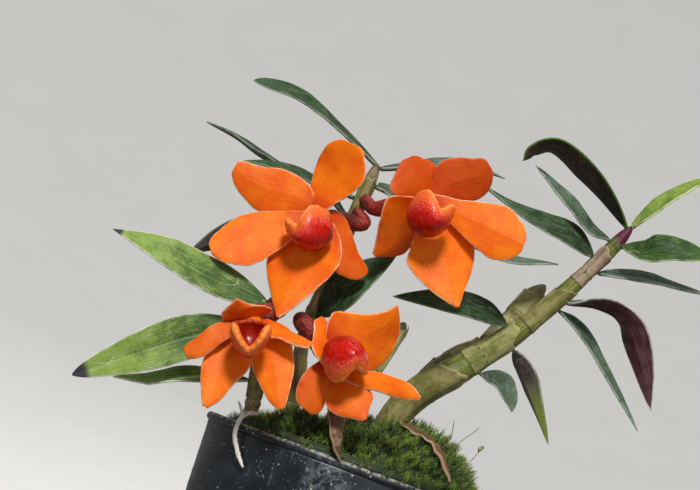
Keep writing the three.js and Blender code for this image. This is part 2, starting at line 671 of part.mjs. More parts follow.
// The moss: its cushion with short pointed shoots all over it.
function moss() {
  const random = seededRandom(7);
  const busy = busySpots();
  const shoots = [];
  while (shoots.length < SHOOTS) {
    const angle = 2 * Math.PI * random();
    const radius = 28.2 * Math.sqrt(random()) * mossReach(angle);
    const [x, y] = [radius * Math.cos(angle), radius * Math.sin(angle)];
    const height = lerp(2.6, 3.8, random());
    const lean = point(x * 0.018 + 0.35 * (random() - 0.5), y * 0.018 + 0.35 * (random() - 0.5), 1);
    if (taken(x, y, busy)) continue;
    const shoot = new THREE.ConeGeometry(lerp(0.8, 1.2, random()), height, 4).rotateX(Math.PI / 2);
    const turn = new THREE.Quaternion().setFromUnitVectors(point(0, 0, 1), lean.normalize());
    shoots.push(shoot.applyQuaternion(turn).translate(x, y, mossTop(x, y) + height / 2 - 1.6));
  }
  return cutBy(fused([mossCushion(), ...shoots]), Object.keys(CANES).map(caneHole));
}

const BRACT_ROUTE = [[9.6, -12.6, 69.4], [13.9, -15, 68.6], [17.7, -18.5, 66.6], [21.3, -22, 61.6]];
const SHEATH_ROUTE = [[-5.4, -22, 67.6], [-5, -27, 66.4], besidePot(-6, 62, 1.6), besidePot(-2, 57.6, 1.5)];
const AERIAL_ROOT = [
  [-19.6, -17.2, 60.8],
  besidePot(-48, 59.6, 0.8),
  besidePot(-48, 55.7, 1.5),
  besidePot(-44.5, 52.3, 1.0),
  besidePot(-39, 49.6, 1.0),
];

const group = new THREE.Group();

function add(name, geometry, color, roughness) {
  const material = new THREE.MeshStandardMaterial({ color, roughness, metalness: 0 });
  const mesh = new THREE.Mesh(geometry, material);
  mesh.name = name;
  group.add(mesh);
}

add("pot", pot(), POT_COLOUR, 0.45);
add("potting_medium", medium(), MEDIUM_COLOUR, 0.95);
add("rhizome_and_roots", rhizomeAndRoots(0), RHIZOME_COLOUR, 0.8);
add("moss", moss(), MOSS_COLOUR, 0.95);
add("aerial_root", stem(smoothCurve(points(AERIAL_ROOT)), () => 0.5, 6, 12), ROOT_COLOUR, 0.8);

add("cane_main", cane("main", 10, 22), CANE_COLOUR, 0.6);
add("cane_old", cane("old", 9, 16), OLD_CANE_COLOUR, 0.8);
add("cane_flower", cane("flower", 8, 16), CANE_COLOUR, 0.6);
add("cane_short", cane("short", 8, 10), OLD_CANE_COLOUR, 0.8);
add("cane_left", cane("left", 8, 10), CANE_COLOUR, 0.6);

const bract = dryStrip("main", 0.82, BRACT_ROUTE, 2.4, [0.3, -0.5, 0.8], 0);
const sheath = dryStrip("short", 1.0, SHEATH_ROUTE, 3.8, [0, -0.6, 0.8], 0);
add("dried_bract", bract, DRY_COLOUR, 0.85);
add("dried_sheath", sheath, DRY_COLOUR, 0.85);

const leafCount = {};
for (const row of LEAVES) {
  leafCount[row.cane] = (leafCount[row.cane] ?? 0) + 1;
  add(`leaf_${row.cane}_${leafCount[row.cane]}`, leafBlade(row), LEAF_COLOUR, 0.5);
}

BLOOMS.forEach((bloom, i) => {
  add(`bloom_${i + 1}_ring`, bloomRing(bloom), TEPAL_COLOUR, 0.5);
  add(`bloom_${i + 1}_lip`, lip(bloom), LIP_COLOUR, 0.3);
  add(`bloom_${i + 1}_stalk`, stalk(bloom), OVARY_COLOUR, 0.6);
});

export default group;
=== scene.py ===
"""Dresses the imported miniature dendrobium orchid: finer pieces, materials, light and camera.

Lengths are millimetres until a mesh is made, when they become Blender's metres. Most named values
repeat the part's own source, so each finer piece keeps its solid's place and form.
"""
import math

import bpy
import numpy as np
from mathutils import Matrix, Vector, noise


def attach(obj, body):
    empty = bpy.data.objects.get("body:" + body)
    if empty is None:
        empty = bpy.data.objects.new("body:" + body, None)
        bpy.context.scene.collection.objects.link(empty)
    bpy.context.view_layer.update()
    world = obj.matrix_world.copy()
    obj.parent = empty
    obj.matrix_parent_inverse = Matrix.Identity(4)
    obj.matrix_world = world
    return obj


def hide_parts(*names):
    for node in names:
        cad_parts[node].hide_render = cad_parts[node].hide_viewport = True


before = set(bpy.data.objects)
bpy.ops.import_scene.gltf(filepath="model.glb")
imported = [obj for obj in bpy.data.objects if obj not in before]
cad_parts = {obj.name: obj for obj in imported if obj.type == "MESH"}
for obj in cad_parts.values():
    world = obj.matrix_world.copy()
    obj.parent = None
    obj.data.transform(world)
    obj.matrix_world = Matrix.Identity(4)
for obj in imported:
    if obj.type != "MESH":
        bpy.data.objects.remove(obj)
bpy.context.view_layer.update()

MM = 0.001
GAP = 0.3
STEM_STEPS = 400

# The pot, its medium and its moss
POT_HEIGHT = 58
POT_RIM_RADIUS = 30
POT_TOP_RADIUS = 29.4
POT_FOOT_RADIUS = 27
POT_WALL = 1.2
POT_FLOOR = 1.6
BEAD_HEIGHT = 1.8
BEAD_RADIUS = 0.72
DRAIN_HOLES = 5
DRAIN_RADIUS = 3
DRAIN_CIRCLE = 16
CHALK_X, CHALK_Z, CHALK_HALF = 0.0025, 0.053, 0.006  # the chalky patch, in metres
MEDIUM_TOP = 53.6
CHIPS = 420
CHIP_REACH = 26.2
MOSS_FOOT = 54.9
MOSS_HEIGHT = 11
MOSS_RADIUS = 29.3
BARE_SIDE = 140  # degrees from +X to where the moss reaches least
MOSS_END = 72  # the height above which no moss is near
MOSS_SHOOTS = 2900
SHOOT_LEAVES = 15
GOLDEN_ANGLE = 2.39996

# The plant
SWELLING = 0.18
SHEATH_HALF = 0.05
LEAF_THICKNESS = 0.7
LEAF_VEINS = 4.5
LEAF_FOLD = 16  # degrees
STRONG_FOLDS = {"main_1": 38, "main_2": 34}
TEPAL_THICKNESS = 0.7
TEPAL_VEINS = 3.5
BLUNT_TIP = 0.75
DRY_THICKNESS = 0.36
PEDICEL_RADIUS = 0.75
OVARY_RADIUS = 2.7
HUB_RADIUS = 2.1
LIP_DEPTH = 3.0
LIP_WALL = 0.9
LIP_ROLL = 0.9
# Half of the lip's margin from its notch over the lobe to the foot: side, forward, up
LIP_MARGIN = [
    (0, 3.4, 0.6), (1.1, 3.3, 1.9), (2.4, 2.4, 3.5), (3.3, 0.5, 4.0), (3.5, -1.7, 2.6), (2.6, -3.8, 0.9),
    (0, -4.9, 0.2),
]

# The canes: each row is a joint of the stem, with its radius.
CANES = {
    "main": [
        (2.5, -5.5, 51.8, 2.0), (7.6, -8, 72.8, 2.6), (16.6, -8, 85, 3.2), (24.3, -8, 95.4, 2.6),
        (30.2, -8, 105.5, 1.9), (35.3, -8, 115.4, 1.5), (39.2, -8, 124.2, 1.2),
    ],
    "old": [
        (5.5, 2, 51.8, 1.6), (8, 0.8, 72.5, 1.9), (10.7, 0.4, 80.3, 2.0), (14.5, 0.6, 86.2, 2.0),
        (19.5, 1.2, 90.5, 2.0), (23, 1.8, 97.5, 2.2), (25, 2.4, 103, 2.5), (27.2, 3, 107.4, 1.4),
    ],
    "flower": [
        (-13.5, -8.5, 51.8, 1.3), (-14.2, -9.6, 66, 1.4), (-16.5, -10, 78, 1.4),
        (-16.3, -9.6, 91, 1.3), (-15.7, -8.6, 105, 1.35), (-14.9, -8, 118, 1.15),
    ],
    "short": [
        (-5, -9.5, 51.8, 1.3), (-5.2, -15, 65.5, 1.5), (-1.2, -13.2, 76, 1.5), (1.9, -8.6, 89, 1.1),
    ],
    "left": [
        (-20.8, -13.5, 51.8, 1.3), (-21.6, -16, 62, 1.5), (-23.6, -18, 73, 1.5), (-25.2, -19.6, 84, 1.2),
    ],
}

# Outlines of the blades: share of the width at the foot, where widest, and how pointed.
OUTLINES = {
    "leaf": (0.16, 0.42, 0.95),
    "broadLeaf": (0.16, 0.45, 0.7),
    "footLeaf": (0.2, 0.3, 1.05),
    "narrowLeaf": (0.3, 0.5, 0.8),
    "waistedLeaf": (0.16, 0.3, 1.3),
    "clubLeaf": (0.22, 0.78, 0.6),
    "dry": (0.5, 0.35, 0.8),
}

# The leaves: name, cane, joint, middle line, width, upper face, twist, outline and look.
LEAVES = [
    ("left_1", "left", 1.45, [(-35.5, -21, 63), (-42.5, -19.5, 59.5), (-50, -18, 57.5)],
     5.8, (0.2, -0.6, 0.9), 0, "leaf", "fresh"),
    ("left_2", "left", 2.4, [(-37, -23, 71), (-45.5, -24, 64.5), (-57.5, -24, 55)],
     9.8, (0.4, -0.9, 0.5), 0, "broadLeaf", "pale"),
    ("left_3", "left", 2.85, [(-39, -24, 82.8), (-50, -26, 84.5), (-60, -26, 85.2)],
     9.2, (0, -0.85, 0.6), 0, "footLeaf", "pale"),
    ("flower_1", "flower", 2.4, [(-12.8, -13.6, 89), (-9.7, -13.2, 94.5), (-4.7, -12.5, 101)],
     9, (-0.45, -0.95, 0.3), 0, "leaf", "velvet"),
    ("flower_2", "flower", 3.75, [(-27.5, -6, 99), (-37.5, -5, 94), (-45.5, -4, 87)],
     8, (-0.1, 0.85, 0.5), 0, "leaf", "deep"),
    ("flower_3", "flower", 4.0, [(-25, -11, 109), (-33.5, -12, 109.5), (-41, -12, 108.5)],
     5.2, (0.1, -0.5, 0.9), 0, "leaf", "velvet"),
    ("flower_4", "flower", 4.35, [(-29.5, -1, 110.5), (-38.5, 2, 112), (-45, 4, 114), (-52, 6, 115)],
     4.6, (0, -0.15, 1), 0, "leaf", "deep"),
    ("flower_5", "flower", 4.65, [(-10, -7, 113), (4, -8, 110), (16.5, -8, 108.5), (27.5, -8, 111.5)],
     7, (0, -0.45, 0.9), 0, "leaf", "grey"),
    ("flower_6", "flower", 4.97, [(-22.1, -7, 120.9), (-30, -6, 124.1), (-36, -7, 125.7), (-45.1, -8, 125.3)],
     4.2, (0.2, -0.35, 0.9), 32, "clubLeaf", "velvet"),
    ("flower_7", "flower", 4.93, [(-6, -6, 120.8), (2.5, -3, 124.8), (11.3, 0, 125.3)],
     5.6, (0, -0.25, 1), 0, "leaf", "grey"),
    ("main_1", "main", 2.1, [(23.6, -10.4, 83.6), (26, -11.6, 82), (28.7, -13, 79.3)],
     7, (0.5, -0.85, 0.4), 0, "broadLeaf", "grey"),
    ("main_2", "main", 2.8, [(26.8, -5.6, 89.4), (29.6, -4.6, 86.5), (33, -4, 82.8), (38.5, -6, 76)],
     6, (0.5, 0.7, 0.5), 0, "leaf", "plum"),
    ("main_3", "main", 2.95, [(15.5, -12, 96.5), (7, -13, 95.5), (-2.5, -12.5, 93)],
     6.4, (0.1, -0.85, 0.5), 0, "leaf", "velvet"),
    ("main_4", "main", 3.8, [(36.5, -6, 100.5), (43.5, -6, 95), (55, -6, 85)],
     3.6, (0.5, -0.7, 0.5), 0, "leaf", "grey"),
    ("main_5", "main", 3.95, [(38, -11, 105.8), (44, -13.4, 104.4), (49.4, -13.4, 99), (55.5, -12, 89.6)],
     8.4, (0, -0.45, 0.9), 125, "leaf", "purple"),
    ("main_6", "main", 4.75, [(44.5, -5, 115), (52, -4, 116), (61, -3, 117)],
     4.4, (0, -0.55, 0.8), 0, "waistedLeaf", "grey"),
    ("main_7", "main", 4.95, [(27.5, -10, 117.5), (21, -10, 118), (14, -8, 119.5), (6.5, -5, 122)],
     7.6, (0.2, -0.8, 0.6), -25, "waistedLeaf", "velvet"),
    ("main_8", "main", 5.45, [(31, -9.5, 120.5), (25.9, -9.5, 123.6), (21.4, -9, 126.2), (16, -7, 129.4)],
     4.4, (0.3, -0.7, 0.7), 0, "leaf", "grey"),
    ("main_9", "main", 5.5, [(43.6, -11.5, 120), (48.8, -12.5, 122), (56.4, -12, 123.4)],
     8.4, (0, -0.75, 0.7), 0, "broadLeaf", "bright"),
    ("main_10", "main", 5.9,
     [(30.8, -11, 128.2), (25.2, -12, 130.9), (18.5, -12.8, 133.3), (14.5, -13.5, 131.3), (12.9, -14, 128.5)],
     6.6, (0.05, 0.5, 0.85), 0, "leaf", "dusk"),
    ("main_11", "main", 6.0, [(42, -9, 128.8), (45.4, -10, 133.6), (51, -11, 139.7)],
     4.4, (-0.5, -0.6, 0.5), 0, "narrowLeaf", "yellow"),
]

# The blooms: middle, where it looks, the lip (middle, apex, way it opens, scale), the stalk's carrier and route
BLOOMS = [
    ((-22, -20, 102.5), (-0.4, -0.9, 0.05), ((-22.7, -27.8, 97.9), (-0.56, -0.82, -0.09), (-0.57, 0.31, 0.76), 1),
     ("flower", 4.12, (0.1, -1, 0)), [(-13.4, -12.4, 105), (-17.4, -13, 103.8)]),
    ((-3, -20, 112.5), (0.35, -0.92, 0.05), ((-1.3, -28.4, 109.1), (0.33, -0.89, 0.33), (0.02, 0.35, 0.93), 1),
     ("flower", 4.36, (0.3, -1, 0)), [(-12.4, -12.6, 108.6), (-9, -14.6, 110)]),
    ((-27.5, -28, 77.5), (0.08, -0.95, -0.25), ((-26.3, -35.6, 73.8), (0.22, -0.6, -0.77), (-0.18, -0.8, 0.57), 0.92),
     ("left", 2.8, (0.55, -0.8, 0.1)), [(-23.7, -23.9, 81.3)]),
    ((-8, -28, 75), (0.3, -0.9, -0.15), ((-7.6, -36.2, 77.8), (0.54, -0.82, -0.19), (0.38, 0.44, -0.82), 1),
     ("flower", 2.2, (-0.1, -1, 0.2)), [(-17.8, -17, 81.6), (-18, -22, 81.2), (-14, -23.4, 79)]),
]

# Their segments: the bloom's number, tip from its middle, turn, forward bow, sway, how far it lies forward
# of the others, how much painted shade darkens it to deep red, and its sideways shifts and half widths from foot to
# tip.
SEGMENTS = [
    (1, (-20, 1, 3.5), 0, -0.5, 0, -0.4, 0.15,
     [0.3, 0.9, 1.2, 0.8, 0.2, -0.4, -0.7, -0.6, 0.1], [1.2, 1.9, 3.3, 4.2, 4.8, 4.9, 3.9, 3, 1.2]),
    (1, (0.5, -3, 16), 0, -1, 0, 0.4, 0,
     [-1.4, -1.5, -1.3, -0.9, -0.5, -0.3, -0.3, -0.4, 0], [1.5, 2.7, 3.5, 4.4, 5.2, 5.7, 5.4, 4.4, 2]),
    (1, (-18.5, -4, -14), 0, -0.5, 0, 0.4, 0,
     [0.5, 0.4, 0.3, 0.3, 0.2, 0, -0.3, -0.4, -0.2], [1.3, 2.1, 3.1, 4.1, 4.9, 5.4, 5.2, 3.8, 1]),
    (1, (-1.2, -8, -22.4), 0, 0, 0, 0, 0,
     [0.3, -0.3, -0.5, -0.4, 0, 0.2, 0, -0.2, -0.3], [3.6, 5.5, 6.8, 7.6, 7.3, 5.9, 4.3, 2.4, 0.3]),
    (1, (12, 1, -8.8), -38, 0, 0, 0.2, 0.5,
     [-1.6, -2.2, -2.3, -1.8, -1.3, -0.6, 0.2, -0.3, -1], [2.4, 2.5, 2.5, 2.5, 2.6, 2.9, 3.3, 2.7, 1.3]),
    (2, (9.4, 0, 12.2), 0, -0.5, 0, -0.4, 0.8,
     [1.2, 0.9, 0.1, -0.7, -0.6, 0.1, 0.7, 0.9, 0.3], [1.3, 1.8, 3, 4.3, 4.9, 5.1, 4.6, 3.4, 1.1]),
    (2, (-6.6, -2, 7.4), 12, 0.5, 0, 0.3, 0.75,
     [1, 0.9, 0.4, -0.2, -0.6, -0.4, 0.2, 0.2, 0.2], [2.7, 3.6, 4.5, 5.3, 5.9, 6, 5.2, 3.4, 1.2]),
    (2, (21.5, -3, -0.5), 0, -0.5, 0, 0.5, 0,
     [-1.6, -1.5, -0.8, -0.6, -0.4, -0.3, 0, 0.4, 0.6], [0.9, 1.5, 2.5, 3.4, 4.3, 5.1, 5.6, 4.4, 1.3]),
    (2, (-5.6, 1, -13.6), -25, 0.5, 0, 0, 0.35,
     [-0.3, 0.7, 1.7, 1.6, 0.9, -0.1, -0.8, -0.5, 0.4], [3.8, 5.3, 6.4, 6.5, 6.1, 5.6, 4.5, 2.7, 0.6]),
    (2, (13.5, -5, -17.5), 0, -1.5, 0, 0, 0,
     [-1.6, -1.8, -1.5, -1.2, -0.5, -0.4, -0.1, 0.3, 0.2], [2.4, 3.8, 5.3, 6.6, 7.6, 6.7, 4.9, 2.7, 0.4]),
    (3, (-3.4, -6, 3.4), 0, 1, 0, -0.3, 0.5,
     [0, -0.1, -0.4, -0.8, -1.2, -1.7, -1.7, -1.3, -0.9], [4.4, 4.8, 4.7, 4.4, 3.9, 3.1, 2.1, 1.1, 0.2]),
    (3, (-10.5, -4, -10), 30, 1.5, 0, 0.4, 0.3,
     [0.6, 0.7, 0.8, 0.9, 0.7, 0.3, -0.3, -0.6, -0.6], [1.2, 1.4, 1.8, 2, 2.1, 2.2, 2.2, 1.9, 1]),
    (3, (13, -6, 0.5), -60, 0.5, 0, 0.4, 0,
     [0, 0.1, 0, 0, 0.1, 0.4, 0.7, 1, 1.1], [1.6, 2.3, 2.4, 2.2, 1.9, 1.7, 1.5, 1.3, 0.8]),
    (3, (-3, -7, -19), 8, -1, 0, 0, 0,
     [1, 0.9, 0.3, -0.1, 0.1, 0.4, 0.1, -0.4, -0.5], [1.6, 2.4, 3.4, 4.2, 4.4, 3.9, 3.1, 2.1, 0.6]),
    (3, (12, -7, -14), -8, -1, 0, 0, 0,
     [-1, -1.3, -1.5, -1.6, -1.2, -0.9, -0.4, 0.1, 0.4], [1.8, 2.7, 3.7, 4.3, 4.3, 3.9, 3.1, 2.1, 0.7]),
    (4, (8.5, -6, -8), 0, 0.5, 0, 0, 0.2,
     [0.8, 1.1, 1.4, 1.5, 1.3, 0.8, 0.7, 0.4, 0.2], [1.9, 2.5, 3.1, 3.8, 4.4, 4.6, 3.5, 1.9, 0.4]),
    (4, (-2.5, -4, -10.5), 10, 0.5, 0, 0.3, 0.5,
     [2.2, 2.3, 2.4, 2.4, 2.2, 1.9, 1.5, 1.2, 1.1], [1.6, 2.1, 2.5, 2.9, 3.2, 3.4, 3.4, 3, 1.5]),
    (4, (17, -8, -0.3), -30, -1, 0, 0.4, 0,
     [0.4, 0.6, 0.6, 0.3, -0.1, -0.3, -0.4, -0.3, 0], [1.1, 1.5, 1.8, 2, 2.1, 2.1, 2, 1.5, 0.4]),
    (4, (-8, -2, 7), 48, 1, 0, 0.2, 0,
     [0.1, -0.1, -0.3, -0.6, -0.7, 0, 1.2, 2, 2.4], [1.7, 2.6, 3.4, 4, 4.2, 4.1, 3.4, 2.6, 1.2]),
    (4, (6.8, -1, 15.6), 0, -1, 1.6, -0.2, 0,
     [-1.6, -2.3, -2.4, -2, -1.7, -1.2, 0, 0.4, 0], [4.4, 6.3, 7.3, 7.4, 7, 5.8, 3.7, 1.8, 0.2]),
]


# Lines and stems

def unit(v):
    v = np.asarray(v, float)
    return v / np.maximum(np.linalg.norm(v, axis=-1, keepdims=True), 1e-9)


def smoothstep(x, low, high):
    x = np.clip((x - low) / (high - low), 0, 1)
    return x * x * (3 - 2 * x)


def lumps(places, size, seed=0):
    """Smooth noise from -1 to 1 at each place, with lumps about that many millimetres wide."""
    places = np.asarray(places, float)
    values = [noise.noise(Vector(p)) for p in places.reshape(-1, 3) / size + seed * 7.31]
    return np.array(values).reshape(places.shape[:-1])


def smooth_curve(points):
    """A Catmull-Rom curve: a function from shares 0 to 1 to places, even from point to point."""
    p = np.asarray(points, float)
    spans = len(p) - 1
    p = np.vstack([2 * p[0] - p[1], p, 2 * p[-1] - p[-2]])

    def at(share):
        along = np.clip(np.atleast_1d(share), 0, 1) * spans
        first = np.minimum(along.astype(int), spans - 1)
        w = (along - first)[:, None]
        a, b, c, d = (p[first + i] for i in range(4))
        s0, s1 = 0.5 * (c - a), 0.5 * (d - b)
        return b + s0 * w + (3 * (c - b) - 2 * s0 - s1) * w**2 + (2 * (b - c) + s0 + s1) * w**3

    return at


class Stem:
    """A round stem along a curve: any point on it or beside it, by share, turn and distance off."""

    def __init__(self, points, radius_at):
        curve = smooth_curve(points)
        fine = curve(np.linspace(0, 1, 4 * STEM_STEPS + 1))
        length = np.r_[0, np.cumsum(np.linalg.norm(np.diff(fine, axis=0), axis=1))]
        self.share = np.linspace(0, 1, STEM_STEPS + 1)
        self.length = length[-1]
        self.middle = np.stack([np.interp(self.share * self.length, length, fine[:, k]) for k in range(3)], -1)
        self.along = unit(np.gradient(self.middle, axis=0))
        across = [unit(np.cross(self.along[0], (0.3, 1, 0.2)))]
        for along in self.along[1:]:
            across.append(unit(across[-1] - along * across[-1].dot(along)))
        self.across = np.array(across)
        self.radius_at = radius_at

    def pick(self, values, share):
        return np.stack([np.interp(share, self.share, values[:, k]) for k in range(3)], -1)

    def place(self, share, turn, off=0.0):
        share, turn, off = np.broadcast_arrays(np.asarray(share, float), turn, off)
        along, across = self.pick(self.along, share), self.pick(self.across, share)
        up = np.cross(along, across)
        out = across * np.cos(turn)[..., None] + up * np.sin(turn)[..., None]
        return self.pick(self.middle, share) + out * (self.radius_at(share) + off)[..., None]


def tapered(points, shares, radii):
    return Stem(points, lambda s: np.interp(s, shares, radii))


def bulb(points, radius, least):
    """A stem as round as a ball, whose ends keep the least share of its radius, squared."""
    return Stem(points, lambda s: radius * np.sqrt(np.clip(1 - (2 * s - 1) ** 2, least, 1)))


def cane_radius(rows):
    radii = np.array([row[3] for row in rows])

    def at(share):
        along = np.clip(share, 0, 1) * (len(rows) - 1)
        rest = along - np.minimum(np.floor(along), len(rows) - 2)
        rounding = np.sqrt(1 - np.clip((share - 0.94) / 0.062, 0, 1) ** 2)
        return (np.interp(along, range(len(rows)), radii) + SWELLING * np.sin(np.pi * rest)) * rounding

    return at


STEMS = {name: Stem([row[:3] for row in rows], cane_radius(rows)) for name, rows in CANES.items()}


def cane_joint(name, joint):
    rows = CANES[name]
    share = joint / (len(rows) - 1)
    curve = smooth_curve([row[:3] for row in rows])
    return curve(share)[0], share, curve


def leave_cane(name, joint, towards):
    """Where a leaf or stalk leaves its cane: a point just clear of the bark, and the way out."""
    axis, share, curve = cane_joint(name, joint)
    ahead = min(share + 1e-4, 1)
    along = unit(curve(ahead)[0] - curve(ahead - 2e-4)[0])
    out = unit(towards)
    out = unit(out - along * out.dot(along) * 0.5)
    away = math.sqrt(1 - out.dot(along) ** 2)
    clear = GAP + 0.1
    if share <= 0.99:
        clear = (cane_radius(CANES[name])(share) + clear) / max(away, 0.7)
    return axis + out * clear, out, axis


# Meshes

def link(name, data):
    thing = bpy.data.objects.new(name, data)
    bpy.context.scene.collection.objects.link(thing)
    return thing


def mesh_of(name, places, faces):
    mesh = bpy.data.meshes.new(name)
    mesh.from_pydata((np.asarray(places).reshape(-1, 3) * MM).tolist(), [], faces)
    return mesh


def skin(rows, ring):
    """The numbers of the places on a row of closed loops, and the faces between the loops."""
    index = np.arange(rows * ring).reshape(rows, ring)
    after = np.roll(index, -1, axis=1)
    return index, np.stack([index[:-1], after[:-1], after[1:], index[1:]], -1).reshape(-1, 4).tolist()


def rings(profile, segments):
    """Upright round loops: one for each radius and height of the profile."""
    angle = np.linspace(0, 2 * np.pi, segments, endpoint=False)
    return np.array([np.stack([r * np.cos(angle), r * np.sin(angle), z + 0 * angle], -1) for r, z in profile])


class Body:
    """Gathers closed forms and makes one piece of them.

    Each vertex keeps a mark of three numbers and a side, which the materials read.
    """

    def __init__(self):
        self.places, self.marks, self.sides, self.faces, self.kinds = [], [], [], [], []
        self.count = 0

    def add(self, places, faces, marks=None, sides=None, kind=0):
        places = np.asarray(places, float).reshape(-1, 3)
        self.places.append(places)
        self.marks.append(np.zeros_like(places) if marks is None else marks.reshape(-1, 3))
        self.sides.append(np.ones(len(places)) if sides is None else sides.reshape(-1))
        self.faces += [tuple(int(i) + self.count for i in face) for face in faces]
        self.kinds += [kind] * len(faces)
        self.count += len(places)

    def loft(self, loops, marks=None, kind=0):
        """A closed skin through closed loops, with a fan of faces at each end."""
        rows, ring = loops.shape[:2]
        index, faces = skin(rows, ring)
        for last, loop in enumerate((index[0], index[-1])):
            pole = rows * ring + last
            faces += [(pole, a, b) if last else (pole, b, a) for a, b in zip(loop, np.roll(loop, -1))]
        places = np.vstack([loops.reshape(-1, 3), loops[0].mean(0), loops[-1].mean(0)])
        if marks is not None:
            marks = np.vstack([marks.reshape(-1, 3), marks[0, 0], marks[-1, 0]])
        self.add(places, faces, marks, kind=kind)

    def sheet(self, upper, lower, marks, deep=0.0):
        """A closed thin sheet: an upper and a lower grid, joined at their edges."""
        loops = np.concatenate([upper, lower[:, ::-1]], axis=1)
        rows, ring = loops.shape[:2]
        index, faces = skin(rows, ring)
        for loop, turn in ((index[0], -1), (index[-1], 1)):
            faces += [loop[[i, i + 1, ring - 2 - i, ring - 1 - i]][::turn] for i in range(ring // 2 - 1)]
        # A side beyond one carries how much painted shade darkens the whole sheet.
        sides = np.ones(marks.shape[:2]) * (1 + deep)
        marks = np.concatenate([marks, marks[:, ::-1]], axis=1)
        self.add(loops, faces, marks, np.concatenate([sides, -sides], axis=1))

    def tube(self, stem, sides, steps, off=None, kind=0):
        turn = np.linspace(0, 2 * np.pi, sides, endpoint=False)[None, :]
        turn, share = np.broadcast_arrays(turn, np.linspace(0, 1, steps + 1)[:, None])
        loops = stem.place(share, turn, off(share, turn) if off else 0.0)
        self.loft(loops, np.stack([turn / (2 * np.pi), share, share * stem.length], -1), kind)

    def make(self, name, looks, replaces=(), smooth=True):
        mesh = mesh_of(name, np.vstack(self.places), self.faces)
        mark = mesh.attributes.new("mark", "FLOAT_VECTOR", "POINT")
        mark.data.foreach_set("vector", np.vstack(self.marks).astype(np.float32).reshape(-1))
        side = mesh.attributes.new("side", "FLOAT", "POINT")
        side.data.foreach_set("value", np.concatenate(self.sides).astype(np.float32))
        for look in looks:
            mesh.materials.append(look)
        mesh.polygons.foreach_set("material_index", np.array(self.kinds, np.int32))
        mesh.polygons.foreach_set("use_smooth", np.full(len(self.faces), smooth))
        mesh.update()
        piece = link(name, mesh)
        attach(piece, "root")
        if replaces:
            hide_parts(*replaces)
        return piece


# Blades: leaves, segments and dried strips

def outlined(width, name):
    """Sideways shift and half width at each share of a plain outline's length."""
    foot, widest, tip = OUTLINES[name]

    def half_at(share):
        rise = np.sin((np.pi / 2) * np.clip(share / widest, 0, 1))
        rest = np.clip((share - widest) / (1 - widest), 0, 1)
        before = foot + (1 - foot) * np.power(rise, 0.85)
        after = np.maximum(np.power(1 - rest * rest, tip), 0.025)
        return 0 * share, 0.5 * width * np.where(share < widest, before, after)

    return half_at


def profiled(shifts, halves):
    """The same from rows of shifts and half widths, at even places from foot to tip."""
    curve = smooth_curve([(shift, half, 0) for shift, half in zip(shifts, halves)])
    last, before = halves[-1], halves[-2]
    blunt = 0.7 if last > BLUNT_TIP else 0.0
    bend = 1 - 1 / (len(halves) - 1)

    def half_at(v):
        shift, half, _ = curve(v).T
        end = np.clip((v - bend) / (1 - bend), 0, 1)
        rounded = last + (before - last) * (1 - end**1.7) ** 0.65
        return shift, np.maximum(np.where(v > bend, half + blunt * (rounded - half), half), 0.1)

    return half_at


def blade(body, curve, half_at, face, thickness, relief, twist, fold, wave, ruffle, seed, curl=0.0, deep=0.0,
          across=22, along=60):
    """A thin blade along a curve, as in the part, with a rounded rib, thin edges and fine relief.

    The twist and the fold are in degrees. Wave, ruffle and curl lift the edges, in millimetres.
    """
    v = 0.5 - 0.5 * np.cos(np.linspace(0, np.pi, along + 1))
    v = 0.6 * v + 0.4 * np.linspace(0, 1, along + 1)
    u = np.sin(np.linspace(-np.pi / 2, np.pi / 2, across + 1)) * 0.5 + np.linspace(-0.5, 0.5, across + 1)
    step = 0.01
    way = unit(curve(np.minimum(v + step, 1)) - curve(np.maximum(v - step, 0)))
    face = np.asarray(face, float)
    normal = unit(face - way * (way @ face)[:, None])
    angle = np.radians(twist) * v[:, None]
    normal = normal * np.cos(angle) - np.cross(way, normal) * np.sin(angle)
    side = np.cross(way, normal)[:, None]
    normal = normal[:, None]
    shift, half = (values[:, None] for values in half_at(v))
    tilt = math.radians(fold)
    uu, vv = np.meshgrid(u, v)
    size = np.abs(uu)
    lift = half * (np.sqrt(uu * uu + 0.006) - 0.05) * math.sin(tilt)
    lift += wave * np.sin(14 * vv + np.where(uu > 0, 0, 1.7)) * uu * uu * np.sin(np.pi * vv)
    lift += 0.12 * np.sign(fold or 1) * half * size * (1 - size)
    lift += ruffle * size**3 * np.sin(37 * vv + 2.3 * np.sign(uu) + seed) * np.sin(np.pi * vv) ** 0.5
    lift += curl * size**4 * smoothstep(vv, 0.2, 0.8)
    places = curve(v)[:, None] + side * ((shift + half * uu) * math.cos(tilt))[..., None] + normal * lift[..., None]
    thick = 0.5 * thickness * (0.3 + 0.7 * np.sqrt(np.clip(1 - uu**4, 0, 1))) * (1 - 0.6 * vv**8)
    up, down = ((thick + rise)[..., None] for rise in relief(uu, vv))
    body.sheet(places + normal * up, places - normal * down, np.stack([uu, vv, half * (1 - size)], -1), deep)


def leaf_relief(uu, vv):
    rib = np.exp(-((uu / 0.06) ** 2)) * (1 - vv**3)
    veins = np.cos(uu * 2 * np.pi * LEAF_VEINS) * (1 - np.abs(uu)) * np.sin(np.pi * np.clip(vv, 0, 1)) ** 0.4
    return -0.14 * rib + 0.035 * veins, 0.2 * rib + 0.03 * veins


def segment_relief(uu, vv):
    rib = np.exp(-((uu / 0.1) ** 2)) * (1 - vv**2)
    veins = np.cos(uu * 2 * np.pi * TEPAL_VEINS) * (1 - np.abs(uu) ** 2)
    return -0.05 * rib + 0.02 * veins, 0.12 * rib + 0.03 * veins


def dry_relief(uu, vv):
    ribs = 0.05 * np.cos(uu * 22) + 0.05 * np.sin(vv * 31 + uu * 3)
    return ribs, -ribs


def leave_towards(cane, joint, route):
    """As leave_cane, on the way from the joint to the first point of a route."""
    return leave_cane(cane, joint, np.array(route[0], float) - cane_joint(cane, joint)[0])


